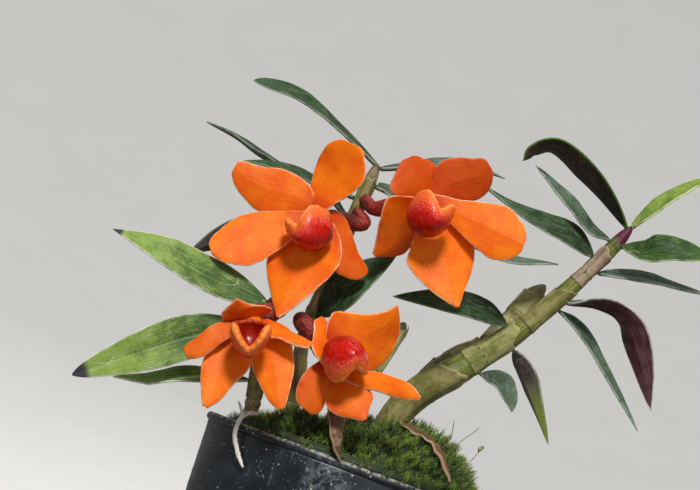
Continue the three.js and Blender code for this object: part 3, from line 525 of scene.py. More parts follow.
def leaf(name, cane, joint, route, width, face, twist, outline, look):
    """A leaf and the short base that clasps the cane."""
    start, _, axis = leave_towards(cane, joint, route)
    curve = smooth_curve([start, *route])
    body = Body()
    blade(body, curve, outlined(width, outline), face, LEAF_THICKNESS, leaf_relief, twist,
          STRONG_FOLDS.get(name, LEAF_FOLD), 0.12, 0.03, len(name) + joint)
    way = unit(curve(0.06)[0] - start)
    clasp = max(0.5 * width * OUTLINES[outline][0], 0.5) * 1.25
    sleeve = [start + (axis - start) * 0.75, start, start + way * 0.9]
    body.tube(tapered(sleeve, [0, 0.6, 1], np.array([0.75, 0.62, 0.42]) * clasp), 14, 8)
    body.make(f"leaf_{name}_blade", [LEAF_LOOKS[look]], [f"leaf_{name}"])


# Blooms

def bloom_ring(number, middle, looks):
    """The five segments, the hub that they grow from, and the column."""
    body = Body()
    for i, (tip, turn, bow, sway, forward, deep, shifts, halves) in enumerate(
            row[1:] for row in SEGMENTS if row[0] == number):
        reach = np.array(tip, float)
        way = unit(reach)
        face = unit(looks - way * looks.dot(way))
        waist = middle + reach * 0.5 + looks * bow + np.cross(way, face) * sway
        ahead = looks * forward
        curve = smooth_curve([middle + way * 0.7 + ahead, waist + ahead, middle + reach + ahead * 0.3])
        angle = math.radians(turn)
        face = face * math.cos(angle) + np.cross(way, face) * math.sin(angle)
        blade(body, curve, profiled(shifts, halves), face, TEPAL_THICKNESS, segment_relief, 0, -3.5, 0.2, 0.07,
              3 * number + i, -0.35, deep, across=26, along=46)
    body.tube(bulb([middle - looks * HUB_RADIUS, middle, middle + looks * HUB_RADIUS], HUB_RADIUS, 0.002), 28, 20)
    column = [middle, middle + looks * 1.8, middle + looks * 3.6]
    body.tube(tapered(column, [0, 0.7, 0.85, 0.95, 1], [0.95, 0.85, 0.95, 0.7, 0.2]), 20, 20, kind=1)
    body.make(f"bloom_{number}_tepals", [TEPAL, COLUMN], [f"bloom_{number}_ring"])


def lip_margin(turn):
    curve = smooth_curve(LIP_MARGIN)
    turn = np.mod(turn, 2 * np.pi)
    left = turn > np.pi
    spot = curve((np.where(left, 2 * np.pi - turn, turn) / np.pi).ravel()).reshape(*turn.shape, 3)
    return spot * np.stack([np.where(left, -1, 1), 1 + 0 * turn, 1 + 0 * turn], -1)


def bend_between(start, first, second, end, share):
    share = np.clip(share, 0, 1)[..., None]
    rest = 1 - share
    return start * rest**3 + 3 * first * share * rest**2 + 3 * second * share**2 * rest + end * share**3


def lip(number, middle, looks, place, apex, opens, scale):
    """A scoop with a pointed notch, two raised lobes, a thick rolled margin and a claw to the column."""
    place = np.array(place)
    apex = unit(apex)
    opens = unit(opens - apex * apex.dot(opens))
    side = np.cross(opens, apex)
    outer_end, inner_start = 0.38, 0.62
    turn = np.linspace(0, 2 * np.pi, 112, endpoint=False)[None, :]
    share = np.r_[np.linspace(0.01, 0.37, 24), np.linspace(0.385, 0.615, 18), np.linspace(0.63, 0.99, 16)][:, None]
    turn, share = np.broadcast_arrays(turn, share)
    margin = lip_margin(turn)
    soft = sum(lip_margin(turn + k) for k in np.linspace(-0.45, 0.45, 9)) / 9
    up = np.array([0, 0, 1.0])
    pole = np.array([0, -0.2, -LIP_DEPTH])
    flat = (soft - pole) * (1, 1, 0)
    reach = np.linalg.norm(flat, axis=-1, keepdims=True)
    out = unit(flat)
    roll = LIP_ROLL * (1 - 0.45 * smoothstep(-margin[..., 1], 0.5, 4.0))[..., None]
    rim = margin + out * roll * 0.9
    full = soft + out * (roll * 0.9 + 0.9)
    outer = bend_between(pole, pole + out * reach * 0.9, full - up * (full[..., 2:] - pole[2]) * 0.6, rim,
                         share / outer_end)
    angle = (np.clip((share - outer_end) / (inner_start - outer_end), 0, 1) * np.pi)[..., None]
    crest = margin + out * roll * np.where(angle < np.pi / 2, 0.9, 1) * np.cos(angle) + up * roll * np.sin(angle)
    lining = margin - out * roll
    floor = pole + up * LIP_WALL
    inner = bend_between(lining, soft - out * roll - up * (lining[..., 2:] - floor[2]) * 0.5,
                         floor + out * reach * 0.6, floor, (share - inner_start) / (1 - inner_start))
    spot = np.where(share[..., None] < outer_end, outer, np.where(share[..., None] < inner_start, crest, inner))
    rise = np.where(share < outer_end, share / outer_end * 0.75, np.where(
        share < inner_start, 0.75 + 0.25 * np.sin(angle[..., 0]), 0.75 * (1 - share) / (1 - inner_start)))
    papillae = smoothstep(rise, 0.45, 0.65) * np.where(share > 0.6, 0.3, 1)
    grain = lumps(spot, 0.3, number) * 0.09 * papillae + lumps(spot, 1.1, number + 5) * 0.07
    waves = 0.1 * np.sin(13 * turn + 2 * np.sin(3 * turn + number)) * smoothstep(rise, 0.7, 0.95)
    spot = (spot + unit(spot) * grain[..., None] + up * waves[..., None]) * scale
    body = Body()
    body.loft(place + spot @ np.array([side, apex, opens]), np.stack([turn / (2 * np.pi), share, rise], -1))
    foot = middle + looks * 0.8 - opens * 0.5
    joint = place + scale * (apex * -3.6 - opens * 1.1)
    claw = tapered([foot, 0.5 * (foot + joint) - opens * 0.4, joint], [0, 0.5, 1], [1.7, 1.3, 1.8])
    body.tube(claw, 20, 14, kind=1)
    body.make(f"bloom_{number}_labellum", [LIP, COLUMN], [f"bloom_{number}_lip"])


def stalk(number, middle, looks, carrier, route):
    """The warted ovary, the cuff where its stalk leaves the cane, and the neck behind the hub."""
    start, out, axis = leave_cane(*carrier)
    end = middle - looks * (HUB_RADIUS + GAP + 0.4)
    radius_at = lambda s: (PEDICEL_RADIUS + (OVARY_RADIUS - PEDICEL_RADIUS) * np.power(s, 0.75)) * (
        1 - 0.6 * smoothstep(s, 0.8, 1))
    stem = Stem([start, start + out * 1.5, *route, end], radius_at)

    def ribs(share, turn):
        places = stem.place(share, turn)
        swell = smoothstep(share, 0.3, 0.7)
        return 0.11 * np.cos(3 * turn) * swell + 0.1 * lumps(places, 0.55, number) + 0.05 * lumps(places, 1.6)

    body = Body()
    body.tube(stem, 36, 90, off=ribs)
    cuff = [axis + (start - axis) * 0.6, start, start + out * 1.7]
    body.tube(tapered(cuff, [0, 0.5, 0.9, 1], [0.9, 1.05, 0.98, 0.82]), 18, 12, kind=1)
    neck = [end - unit(end - stem.middle[-12]) * 0.3, end, middle - looks * 1.2]
    body.tube(tapered(neck, [0, 0.5, 1], [0.8, 0.95, 1.3]), 18, 8)
    body.make(f"bloom_{number}_ovary", [OVARY, DRIED], [f"bloom_{number}_stalk"])


# Materials

def paint(text):
    """A colour written as in a paint program, made linear for the shaders."""
    parts = [int(text[i:i + 2], 16) / 255 for i in (1, 3, 5)]
    return tuple(p / 12.92 if p <= 0.04045 else ((p + 0.055) / 1.055) ** 2.4 for p in parts) + (1.0,)


class Wire:
    """The value at a node's output, which the looks below reckon with."""

    def __init__(self, look, socket):
        self.look, self.socket = look, socket

    def math(self, operation, other=0.0):
        return self.look.node("Math", {0: self, 1: other}, operation=operation)

    def __add__(self, other):
        return self.math("ADD", other)

    def __sub__(self, other):
        return self.math("SUBTRACT", other)

    def __mul__(self, other):
        return self.math("MULTIPLY", other)

    def __abs__(self):
        return self.math("ABSOLUTE")

    def waves(self, count):
        return (self * (2 * math.pi * count)).math("COSINE")

    def clamped(self):
        self.socket.node.use_clamp = True
        return self

    def span(self, low, high, start=0.0, end=1.0):
        """The value's smooth way from low to high, as a number from start to end."""
        limits = {"From Min": low, "From Max": high, "To Min": start, "To Max": end}
        return self.look.node("MapRange", {"Value": self, **limits}, interpolation_type="SMOOTHSTEP")

    def to(self, colour, share):
        """This colour, turned towards another one by a share."""
        return self.look.mix(share, self, colour)


class Look:
    """A node material. The sizes of its noise and cells are in millimetres."""

    def __init__(self, name, roughness=0.5, **uniform):
        self.material = bpy.data.materials.new(name)
        self.material.use_nodes = True
        self.nodes, self.links = self.material.node_tree.nodes, self.material.node_tree.links
        self.shader = self.nodes["Principled BSDF"].inputs
        self.shader["Roughness"].default_value = roughness
        for socket, value in uniform.items():
            self.feed(self.shader[socket.replace("_", " ")], value)
        self.place = self.node("TexCoord", output="Object")

    def feed(self, socket, value):
        if isinstance(value, Wire):
            self.links.new(value.socket, socket)
        else:
            socket.default_value = paint(value) if isinstance(value, str) else value

    def node(self, kind, inputs={}, output=0, **settings):
        """A new node's output, with these inputs and settings."""
        node = self.nodes.new("ShaderNode" + kind)
        for setting, value in settings.items():
            setattr(node, setting, value)
        for socket, value in inputs.items():
            self.feed(node.inputs[socket], value)
        return Wire(self, node.outputs[output])

    def split(self, vector):
        return [Wire(self, output) for output in self.node("SeparateXYZ", {0: vector}).socket.node.outputs]

    def mark(self):
        return self.split(self.node("Attribute", output="Vector", attribute_name="mark"))

    def side(self):
        return self.node("Attribute", output="Fac", attribute_name="side")

    def mix(self, share, a, b):
        return self.node("Mix", {0: share, 6: a, 7: b}, 2, data_type="RGBA")

    def join(self, x, y, z=0.0):
        return self.node("CombineXYZ", {0: x, 1: y, 2: z})

    def grain(self, kind, size, vector, output, inputs={}, **settings):
        scale = 1 / size if vector else 1 / (size * MM)
        return self.node(kind, {"Scale": scale, "Vector": vector or self.place, **inputs}, output, **settings)

    def noise(self, size, detail=2.0, rough=0.5, vector=None, warp=0.0):
        return self.grain("TexNoise", size, vector, "Fac", {"Detail": detail, "Roughness": rough, "Distortion": warp})

    def cells(self, size, feature="F1", vector=None):
        return self.grain("TexVoronoi", size, vector, "Distance", feature=feature)

    def bump(self, height, depth, strength, below=None):
        inputs = {"Strength": strength, "Distance": depth * MM, "Height": height}
        return self.node("Bump", {**inputs, "Normal": below} if below else inputs)

    def finish(self, colour, normal=None, roughness=None):
        for socket, value in (("Base Color", colour), ("Normal", normal), ("Roughness", roughness)):
            if value:
                self.feed(self.shader[socket], value)
        return self.material


def leaf_look(name, dark, light, under, under_light, margin, cracks, tip=None, tip_from=0.93, tip_to=0.965,
              threads=0.6, brighten=0.3):
    look = Look(f"leaf {name}", Sheen_Weight=0.05, Sheen_Roughness=0.4, Specular_IOR_Level=0.2)
    u, v, edge = look.mark()
    side = look.side()
    streak = look.noise(1, 3, 0.6, look.join(u * 14, v * 3), 0.3)
    blotch = look.noise(3.2, 3, 0.6)
    fine = look.noise(0.3, 2, 0.75)
    tone = streak * 0.35 + blotch * 0.65 + (fine - 0.5) * 0.7 + (v - 0.5) * brighten
    tone = tone.span(0.28, 0.72)
    colour = look.mix(tone, dark, light)
    colour = colour.to(light, u.waves(LEAF_VEINS).span(0.9, 1, 0, 0.16))
    colour = colour.to(margin, abs(u).span(0.05, 0, 0, 0.12))
    below = look.mix(tone, under, under_light)
    below = below.to(under_light, abs(u).span(0.1, 0, 0, 0.4))
    colour = colour.to(below, side.span(0.1, -0.1))
    thread = look.noise(1, 2, 0.7, look.join(u * 26, v * 7)).span(0.5, 0.66)
    silver = thread * blotch.span(0.3, 0.65, 0.25 * threads, threads) * side.span(-0.1, 0.1, 0.3, 1)
    colour = colour.to(margin, silver)
    crack = look.cells(5.5, "DISTANCE_TO_EDGE", look.join(u * 5, v * 20, blotch)).span(0.012, 0)
    colour = colour.to(margin, (crack * look.noise(5, 1).span(0.55, 0.64)).clamped() * cracks)
    colour = colour.to(margin, look.noise(0.42, 3, 0.8).span(0.62, 0.8) * 0.3)
    colour = colour.to(margin, edge.span(0.3, 0.05) * look.noise(2).span(0.3, 0.6, 0.3, 1))
    if tip:
        colour = colour.to(tip, (v + blotch * 0.03).span(tip_from, tip_to))
    normal = look.bump(streak, 0.14, 0.4, look.bump(fine, 0.06, 0.6))
    return look.finish(colour, normal, blotch.span(0.3, 0.7, 0.42, 0.6))


def tepal_look():
    look = Look("tepal orange", Sheen_Weight=0.03, Sheen_Roughness=0.4, Sheen_Tint="#ffb070", Subsurface_Weight=0.1,
                Subsurface_Scale=0.001, Subsurface_Radius=(1.0, 0.3, 0.05), Specular_IOR_Level=0.22)
    u, v, edge = look.mark()
    side = look.side()
    streak = look.noise(1, 3, 0.6, look.join(u * 7, v * 2.4), 0.3)
    tone = streak * 0.2 + look.noise(4) * 0.8
    colour = look.mix(tone.span(0.32, 0.68), "#f06400", "#ff8002")
    colour = colour.to("#cc3202", (v.span(0.4, 0.02, 0, 0.85) + streak * 0.08).clamped())
    colour = colour.to("#d64a02", u.waves(TEPAL_VEINS).span(0.85, 1, 0, 0.07))
    # Painted highlights: paler cell centres in patches stand for the glisten of the papillae, and small pale sparkles,
    # stronger towards the tip, for their shine.
    grain = look.cells(0.36)
    glisten_patches = look.noise(6).span(0.42, 0.66)
    colour = colour.to("#ff9240", grain.span(0.5, 0.1, 0, 0.22) * glisten_patches)
    painted_glint = look.noise(0.34, 2, 0.7).span(0.64, 0.78) * glisten_patches.span(0, 1, 0.1, 0.5)
    colour = colour.to("#ffc090", (painted_glint * v.span(0.3, 0.9, 0.7, 1.5)).clamped())
    colour = colour.to("#ffc8a0", edge.span(0.3, 0.04) * look.noise(1.8).span(0.35, 0.6, 0.25, 0.95))
    # Painted shade: segments turned away from the light darken to deep red, by how far the side passes one.
    colour = colour.to("#bc3a00", abs(side) - 1.0)
    colour = colour.to(colour.to("#c84402", 0.35), side.span(0.1, -0.1))
    normal = look.bump(streak, 0.1, 0.35, look.bump(grain, 0.08, 0.6))
    return look.finish(colour, normal, grain.span(0, 0.6, 0.4, 0.55))


def lip_look():
    look = Look("lip red", 0.3, Coat_Weight=0.08, Coat_Roughness=0.15, Subsurface_Weight=0.05, Subsurface_Scale=0.001,
                Subsurface_Radius=(1.0, 0.2, 0.08), Specular_IOR_Level=0.3)
    turn, share, rise = look.mark()
    cells = look.cells(0.4)
    wisp = look.noise(0.8, 3, 0.6)
    height = rise + (wisp - 0.5) * 0.14
    colour = look.mix(wisp.span(0.3, 0.7), "#b20a02", "#d81c04")
    colour = colour.to(look.mix(cells.span(0.5, 0.12), "#dc3426", "#f47a5c"), height.span(0.44, 0.56))
    colour = colour.to("#f0601c", height.span(0.56, 0.68))
    colour = colour.to("#fa8a34", height.span(0.7, 0.86))
    colour = colour.to("#ffb48a", cells.span(0.45, 0.08, 0, 0.4) * rise.span(0.5, 0.75))
    inside = look.mix(height.span(0.86, 0.66), "#f07020", "#8c0a02")
    colour = colour.to(inside, share.span(0.5, 0.54))
    # Painted shade: the back of the rim, under the column and hood, turns deep red.
    colour = colour.to("#a01a04", abs(turn - 0.5).span(0.2, 0.14, 0, 0.85))
    normal = look.bump(wisp, 0.08, 0.25, look.bump(cells, 0.03, 0.5))
    return look.finish(colour, normal, rise.span(0.5, 0.8, 0.25, 0.5))


def ovary_look():
    look = Look("ovary dark red", 0.55, Sheen_Weight=0.1)
    cells = look.cells(0.5)
    colour = look.mix(look.noise(1.6, 3, 0.6).span(0.35, 0.7), "#640a06", "#a82410")
    colour = colour.to("#b8503c", cells.span(0.5, 0.05, 0, 0.3))
    return look.finish(colour, look.bump(cells, 0.22, 0.8))


def cane_look(name, dark, light, streaks, blush, blush_low, blush_high, papery=0.0):
    look = Look(f"cane {name}", 0.45, Sheen_Weight=0.03, Specular_IOR_Level=0.3)
    turn, share, _ = look.mark()
    angle = turn * (2 * math.pi)
    streak = look.noise(1, 4, 0.65, look.join(angle.math("COSINE") * 4, angle.math("SINE") * 4, share * 11))
    blotch = look.noise(1.6, 3, 0.6)
    fleck = look.noise(0.34, 2, 0.7)
    colour = look.mix(streak.span(0.35, 0.65), dark, light)
    colour = colour.to(streaks, blotch.span(0.56, 0.7, 0, 0.65))
    colour = colour.to(light, fleck.span(0.55, 0.75, 0, 0.4))
    colour = colour.to(blush, (share + (blotch - 0.5) * 0.06).span(blush_low, blush_high))
    return look.finish(colour, look.bump(streak, 0.25, 0.5 + papery, look.bump(fleck, 0.08, 0.5)))


def paper_look(name, dark, light, stain, edge_colour, stain_share):
    """A dry sheath: lengthwise fibres, stains and a pale torn edge."""
    look = Look(f"paper {name}", 0.55, Sheen_Weight=0.04, Specular_IOR_Level=0.25)
    turn, step, run = look.mark()
    fibre = look.noise(1, 3, 0.65, look.join(turn * 110, run * 0.16), 0.2)
    veins = look.noise(1, 3, 0.6, look.join(turn * 9, run * 0.09), 0.2)
    blotch = veins * 0.6 + look.noise(2.4, 3, 0.6) * 0.4
    colour = look.mix(blotch.span(0.38, 0.6), dark, light)
    colour = colour.to(dark, fibre.span(0.5, 0.7, 0, 0.3))
    colour = colour.to(stain, blotch.span(stain_share, stain_share + 0.1, 0, 0.7))
    colour = colour.to(edge_colour, step.span(0.965, 1, 0, 0.6))
    colour = colour.to(edge_colour, look.noise(0.32, 2, 0.7).span(0.56, 0.74, 0, 0.4))
    return look.finish(colour, look.bump(look.noise(0.3, 2, 0.7), 0.06, 0.4, look.bump(fibre, 0.07, 0.4)))


def dried_look():
    look = Look("dried bract", 0.7)
    u, v, edge = look.mark()
    fibre = look.noise(1, 3, 0.65, look.join(u * 8, v * 3), 0.3)
    colour = look.mix(fibre.span(0.35, 0.65), "#382414", "#84603f")
    colour = colour.to("#a07e66", look.noise(1.8, 3, 0.6).span(0.5, 0.68, 0, 0.7))
    colour = colour.to("#d9b48a", edge.span(0.3, 0.02, 0, 0.7))
    return look.finish(colour, look.bump(fibre, 0.25, 0.8))


def root_look():
    look = Look("root skin", 0.75, Sheen_Weight=0.1)
    fine = look.noise(0.35, 4, 0.7)
    colour = look.mix(fine.span(0.3, 0.7), "#c4c0ae", "#fbf9f0")
    colour = colour.to("#8c8a6a", look.noise(1.2, 3, 0.6).span(0.58, 0.72, 0, 0.5))
    return look.finish(colour, look.bump(fine, 0.15, 0.8))


def moss_look():
    look = Look("moss green", 0.6, Sheen_Weight=0.06, Sheen_Roughness=0.5, Subsurface_Weight=0.08,
                Subsurface_Scale=0.0006)
    tint, level, _ = look.mark()
    young = look.mix(tint.span(0.1, 0.9), "#3a6410", "#98b82e")
    young = young.to("#8c8a30", look.noise(4.5).span(0.56, 0.7, 0, 0.6))
    colour = look.mix(level.span(0.2, 0.95), "#1a2c08", young)
    colour = colour.to("#c0d070", level.span(0.9, 1, 0, 0.35))
    return look.finish(colour, look.bump(look.noise(0.25, 3, 0.7), 0.12, 0.5))


def medium_look():
    look = Look("bark medium", 0.85)
    tint, _, _ = look.mark()
    grain = look.noise(0.6, 4, 0.7)
    colour = look.mix(grain.span(0.3, 0.7), "#1c120b", "#4a3220")
    colour = colour.to("#7a5636", tint.span(0.3, 1, 0, 0.7))
    colour = colour.to("#b9b2a4", tint.span(0.9, 0.93) * 0.7)
    return look.finish(colour, look.bump(grain, 0.4, 0.8))


def pot_look():
    """Dark plastic with lime specks, a pale streaky band down the front that is partly a thin coat of lime and partly
    a painted reflection, and one chalky patch.
    """
    look = Look("pot plastic", 0.38, Specular_IOR_Level=0.5)
    x, y, z = look.split(look.place)
    cloud = look.noise(9, 4, 0.6)
    fine = look.noise(0.5, 3, 0.75)
    colour = look.mix(cloud.span(0.35, 0.7), "#0d141a", "#202b33")
    speck = look.cells(1.5).span(0.2, 0.06) * look.noise(2.2, 3, 0.7).span(0.46, 0.6)
    crumb = look.cells(0.7).span(0.24, 0.1) * look.noise(3, 2, 0.6).span(0.5, 0.64)
    # Pale vertical streaks, strongest down the middle of the front: partly a thin coat of lime, partly a painted
    # reflection of light glancing off the wall.
    lime_and_glare = look.noise(1, 4, 0.7, look.join(x * 900, y * 900, z * 110)).span(0.52, 0.75) * cloud.span(0.44, 0.62)
    lime_and_glare = lime_and_glare * (abs(x + 0.006).span(0.012, 0.002) * 0.5 + 0.25)
    far_x = (x + CHALK_X).math("DIVIDE", CHALK_HALF)
    far_z = (z - CHALK_Z).math("DIVIDE", 1.3 * CHALK_HALF)
    nearby = (far_x * far_x + far_z * far_z).span(1, 0.1) * y.span(-0.01, -0.02)
    chalk = nearby * look.noise(1.3, 5, 0.75).span(0.4, 0.66)
    dust = fine.span(0.58, 0.76) * 0.25
    worn = z.span(0.0571, 0.0578) * look.noise(1.6, 3, 0.7).span(0.4, 0.6)
    colour = colour.to("#84898a", lime_and_glare.math("MAXIMUM", chalk * 0.8))
    colour = colour.to("#5e666b", dust)
    colour = colour.to("#d8dad4", speck * 0.85)
    colour = colour.to("#bfc3be", crumb * 0.7)
    colour = colour.to("#c9c3b4", worn * 0.7)
    normal = look.bump(speck + crumb, 0.12, 0.5, look.bump(fine, 0.05, 0.4))
    return look.finish(colour, normal, (cloud.span(0.3, 0.7, 0.3, 0.46) + dust * 0.8).clamped())


def plain_look(name, dark, light, size, roughness, **uniform):
    look = Look(name, roughness, **uniform)
    grain = look.noise(size, 3, 0.6)
    return look.finish(look.mix(grain.span(0.3, 0.7), dark, light), look.bump(grain, 0.1, 0.3))


# Name, dark and light above, dark and light below, margin, cracks, then the tip, where it starts and ends,
# the silver threads, and how much brighter the tip's end is
LEAF_LOOKS = {row[0]: leaf_look(*row) for row in (
    ("pale", "#3c5c28", "#88a244", "#5c6644", "#828a68", "#e2ead0", 0.8, "#3c3a40", 0.93, 0.965, 0.25, 0.6),
    ("fresh", "#486c1a", "#82a03c", "#5a683a", "#828c58", "#e2ead0", 0.5, None, 0, 0, 0.25),
    ("deep", "#131f0c", "#2c4420", "#2e2629", "#544e4a", "#7b8a72", 0.3),
    ("velvet", "#10240a", "#2c4a1e", "#33282a", "#54484a", "#8a9c80", 0.4),
    ("grey", "#263a26", "#526a4e", "#383334", "#5c5654", "#a9b6a4", 0.5),
    ("bright", "#0e3002", "#224c0a", "#4a6226", "#76864a", "#a8bc7c", 0.4, "#4f6a50"),
    ("yellow", "#4c7018", "#8ea646", "#6e8030", "#98a458", "#dfe6a8", 0.2),
    ("purple", "#3a4e2a", "#6f845c", "#301418", "#5c343c", "#bdb8ae", 0.5),
    ("plum", "#3a4e2a", "#6f845c", "#342a2a", "#625654", "#bdb8ae", 0.7, "#6a7a26", 0.45, 0.95),
    ("dusk", "#1f4008", "#42681c", "#17120e", "#3a2a24", "#56762c", 0.2),
)}
TEPAL = tepal_look()
COLUMN = plain_look("column", "#c8420a", "#e8901e", 0.8, 0.4)
LIP = lip_look()
OVARY = ovary_look()
CANE_GREEN = cane_look("green", "#4a5414", "#868c40", "#5c4a30", "#5c1a34", 0.93, 0.96)
CANE_OLD = cane_look("old", "#74723e", "#aeaa72", "#4e4228", "#8a825a", 0.9, 1.0, 0.3)
CANE_THIN = cane_look("thin", "#7c7248", "#b8ac7c", "#4a3430", "#5c4044", 0.95, 1.0)
SHEATH_TAN = paper_look("tan", "#67652c", "#9a925a", "#5a443a", "#b4aa8c", 0.57)
SHEATH_GREEN = paper_look("green", "#6c7034", "#aaa66a", "#62503c", "#c4c098", 0.6)
SHEATH_PINK = paper_look("pink", "#7c6450", "#b29e84", "#55302f", "#ccbca8", 0.57)
SHEATH_GREY = paper_look("grey", "#8a8850", "#c2be84", "#5e5634", "#d6d2b0", 0.64)
DRIED = dried_look()
ROOT = root_look()
MOSS = moss_look()
HAIR = plain_look("moss hair", "#6d7048", "#b4b48a", 0.6, 0.5)
MEDIUM = medium_look()
POT = pot_look()


# Canes and their papery sheaths

def cane(name, look, slot, sides=32, steps=220):
    stem = STEMS[name]
    joints = len(CANES[name]) - 1

    def bark(share, turn):
        ridge = 0.05 * np.cos(11 * turn + 2 * np.sin(share * 9)) + 0.03 * np.cos(23 * turn + share * 14)
        near = np.abs(share * joints - np.round(share * joints)) * stem.length / joints
        node = 0.16 * np.exp(-((near / 0.5) ** 2)) - 0.1 * np.exp(-(((near - 1.1) / 0.5) ** 2))
        inside = smoothstep(share, 0, 0.02) * (1 - smoothstep(share, 0.93, 0.97))
        return (ridge + node + 0.05 * lumps(stem.place(share, turn), 1.3)) * inside

    body = Body()
    body.tube(stem, sides, steps, off=bark)
    body.make(f"cane_{name}_stem", [look], [f"cane_{name}"])


def sheath(name, number, low, high, look, slot, start, proud, flare, slant, ragged, seed):
    """A thin dry sheath wrapped round a cane from joint to joint, open along one edge, its top torn."""
    stem = STEMS[name]
    turns = np.linspace(0, 1, 45)[None, :]
    steps = np.linspace(0, 1, 31)[:, None]
    flat = 0 * turns[0]
    torn = ragged * lumps(np.stack([turns[0] * 9, flat + seed, flat], -1), 1.0)
    top = high - slant * (0.5 - 0.5 * np.cos(turns * 2 * np.pi)) + torn
    share, wrap = np.broadcast_arrays((low + (top - low) * steps) / (len(CANES[name]) - 1),
                                      start + turns * (2 * np.pi + 0.4))
    off = proud * (0.35 + 0.65 * turns) + flare * steps**5 + 0.02
    off = off + 0.05 * lumps(stem.place(share, wrap), 1.1, seed) + 0.035 * np.cos(14 * wrap)
    marks = np.stack([wrap / (2 * np.pi), steps + 0 * share, share * stem.length], -1)
    body = Body()
    body.sheet(stem.place(share, wrap, off + SHEATH_HALF), stem.place(share, wrap, off - SHEATH_HALF), marks)
    body.make(f"sheath_{name}_{number}", [look])


# Dried strips and the aerial root

def wall_radius(height, inward=0.0):
    return POT_FOOT_RADIUS + (POT_TOP_RADIUS - POT_FOOT_RADIUS) * height / POT_HEIGHT - inward


def beside_pot(angle, height, off):
    """A point beside the pot's wall: degrees right of the front, height, and distance off it."""
    radius = wall_radius(height, -off)
    return (radius * math.sin(math.radians(angle)), -radius * math.cos(math.radians(angle)), height)


def dry_strip(node, cane_name, joint, width, face, route):
    start, _, _ = leave_towards(cane_name, joint, route)
    body = Body()
    blade(body, smooth_curve([start, *route]), outlined(width, "dry"), face, DRY_THICKNESS, dry_relief, 0, -14, 0.3,
          0.28, joint, -0.5, across=18)
    body.make(f"{node}_strip", [DRIED], [node])


def aerial_root():
    """The white root on the pot's front, with the short fork at its top."""
    route = [(-19.6, -17.2, 60.8), beside_pot(-48, 59.6, 0.8), beside_pot(-48, 55.7, 1.5),
             beside_pot(-44.5, 52.3, 1.0), beside_pot(-39, 49.6, 1.0)]
    body = Body()
    stem = tapered(route, [0, 0.1, 0.85, 1], [0.42, 0.5, 0.46, 0.2])
    body.tube(stem, 18, 90, off=lambda s, t: 0.07 * lumps(stem.place(s, t), 0.8) + 0.03 * lumps(stem.place(s, t), 0.3))
    for low, tip, radius in ((0.3, (-1.8, -0.3, 2.6), 0.34), (0.33, (1.6, -0.5, 2.2), 0.3)):
        base, tip = stem.pick(stem.middle, low), np.array(tip)
        fork = tapered([base, base + tip * 0.55 + (0.2, -0.3, 0), base + tip], [0, 0.8, 1],
                       radius * np.array([1, 0.75, 0.25]))
        body.tube(fork, 12, 20, off=lambda s, t, f=fork: 0.04 * lumps(f.place(s, t), 0.5))
    body.make("aerial_root_skin", [ROOT], ["aerial_root"])


# Moss, medium and pot

def moss_reach(angle):
    """The moss's share of its full radius, each way."""
    return 1 - 0.3 * np.power(np.maximum(0, np.cos(angle - math.radians(BARE_SIDE))), 1.5)


def moss_top(x, y):
    radius, angle = np.hypot(x, y), np.arctan2(y, x)
    edge = 1 - np.power(np.minimum(radius / ((MOSS_RADIUS + 0.3) * moss_reach(angle)), 1), 9)
    mound = MOSS_HEIGHT * np.exp(-((x - 12) ** 2) / 420 - (y + 6) ** 2 / 330)
    tuft = 5 * np.exp(-((x + 12) ** 2 + (y + 20) ** 2) / 34)
    bumps = 0.5 * np.sin(0.8 * x) * np.sin(0.7 * y + 1)
    return MOSS_FOOT + 1.4 + (mound + tuft + bumps + 2) * edge


def moss_cushion(body):
    over_rim = POT_HEIGHT + GAP
    sides = [(0.4, MOSS_FOOT), (14, MOSS_FOOT), (27, MOSS_FOOT), (27.4, over_rim), (MOSS_RADIUS, over_rim + 1.1)]
    tops = [(MOSS_RADIUS * s, None) for s in np.r_[np.linspace(0.985, 0.8, 12), np.linspace(0.77, 0.01, 30)]]
    angle = np.linspace(0, 2 * np.pi, 150, endpoint=False)
    reach = moss_reach(angle)
    loops = []
    for radius, z in sides + tops:
        x, y = radius * reach * np.cos(angle), radius * reach * np.sin(angle)
        if z is None:
            loop = np.stack([x, y, moss_top(x, y)], -1)
            loop[:, 2] += 0.5 * lumps(loop, 1.4) - 0.2
        else:
            lowered = 12 * (1 - reach) * (z > MOSS_FOOT)
            loop = np.stack([x, y, np.maximum(z - lowered, MOSS_FOOT)], -1)
        loops.append(loop)
    loops = np.array(loops)
    body.loft(loops, np.zeros(loops.shape) + (0.5, 0.1, 0))


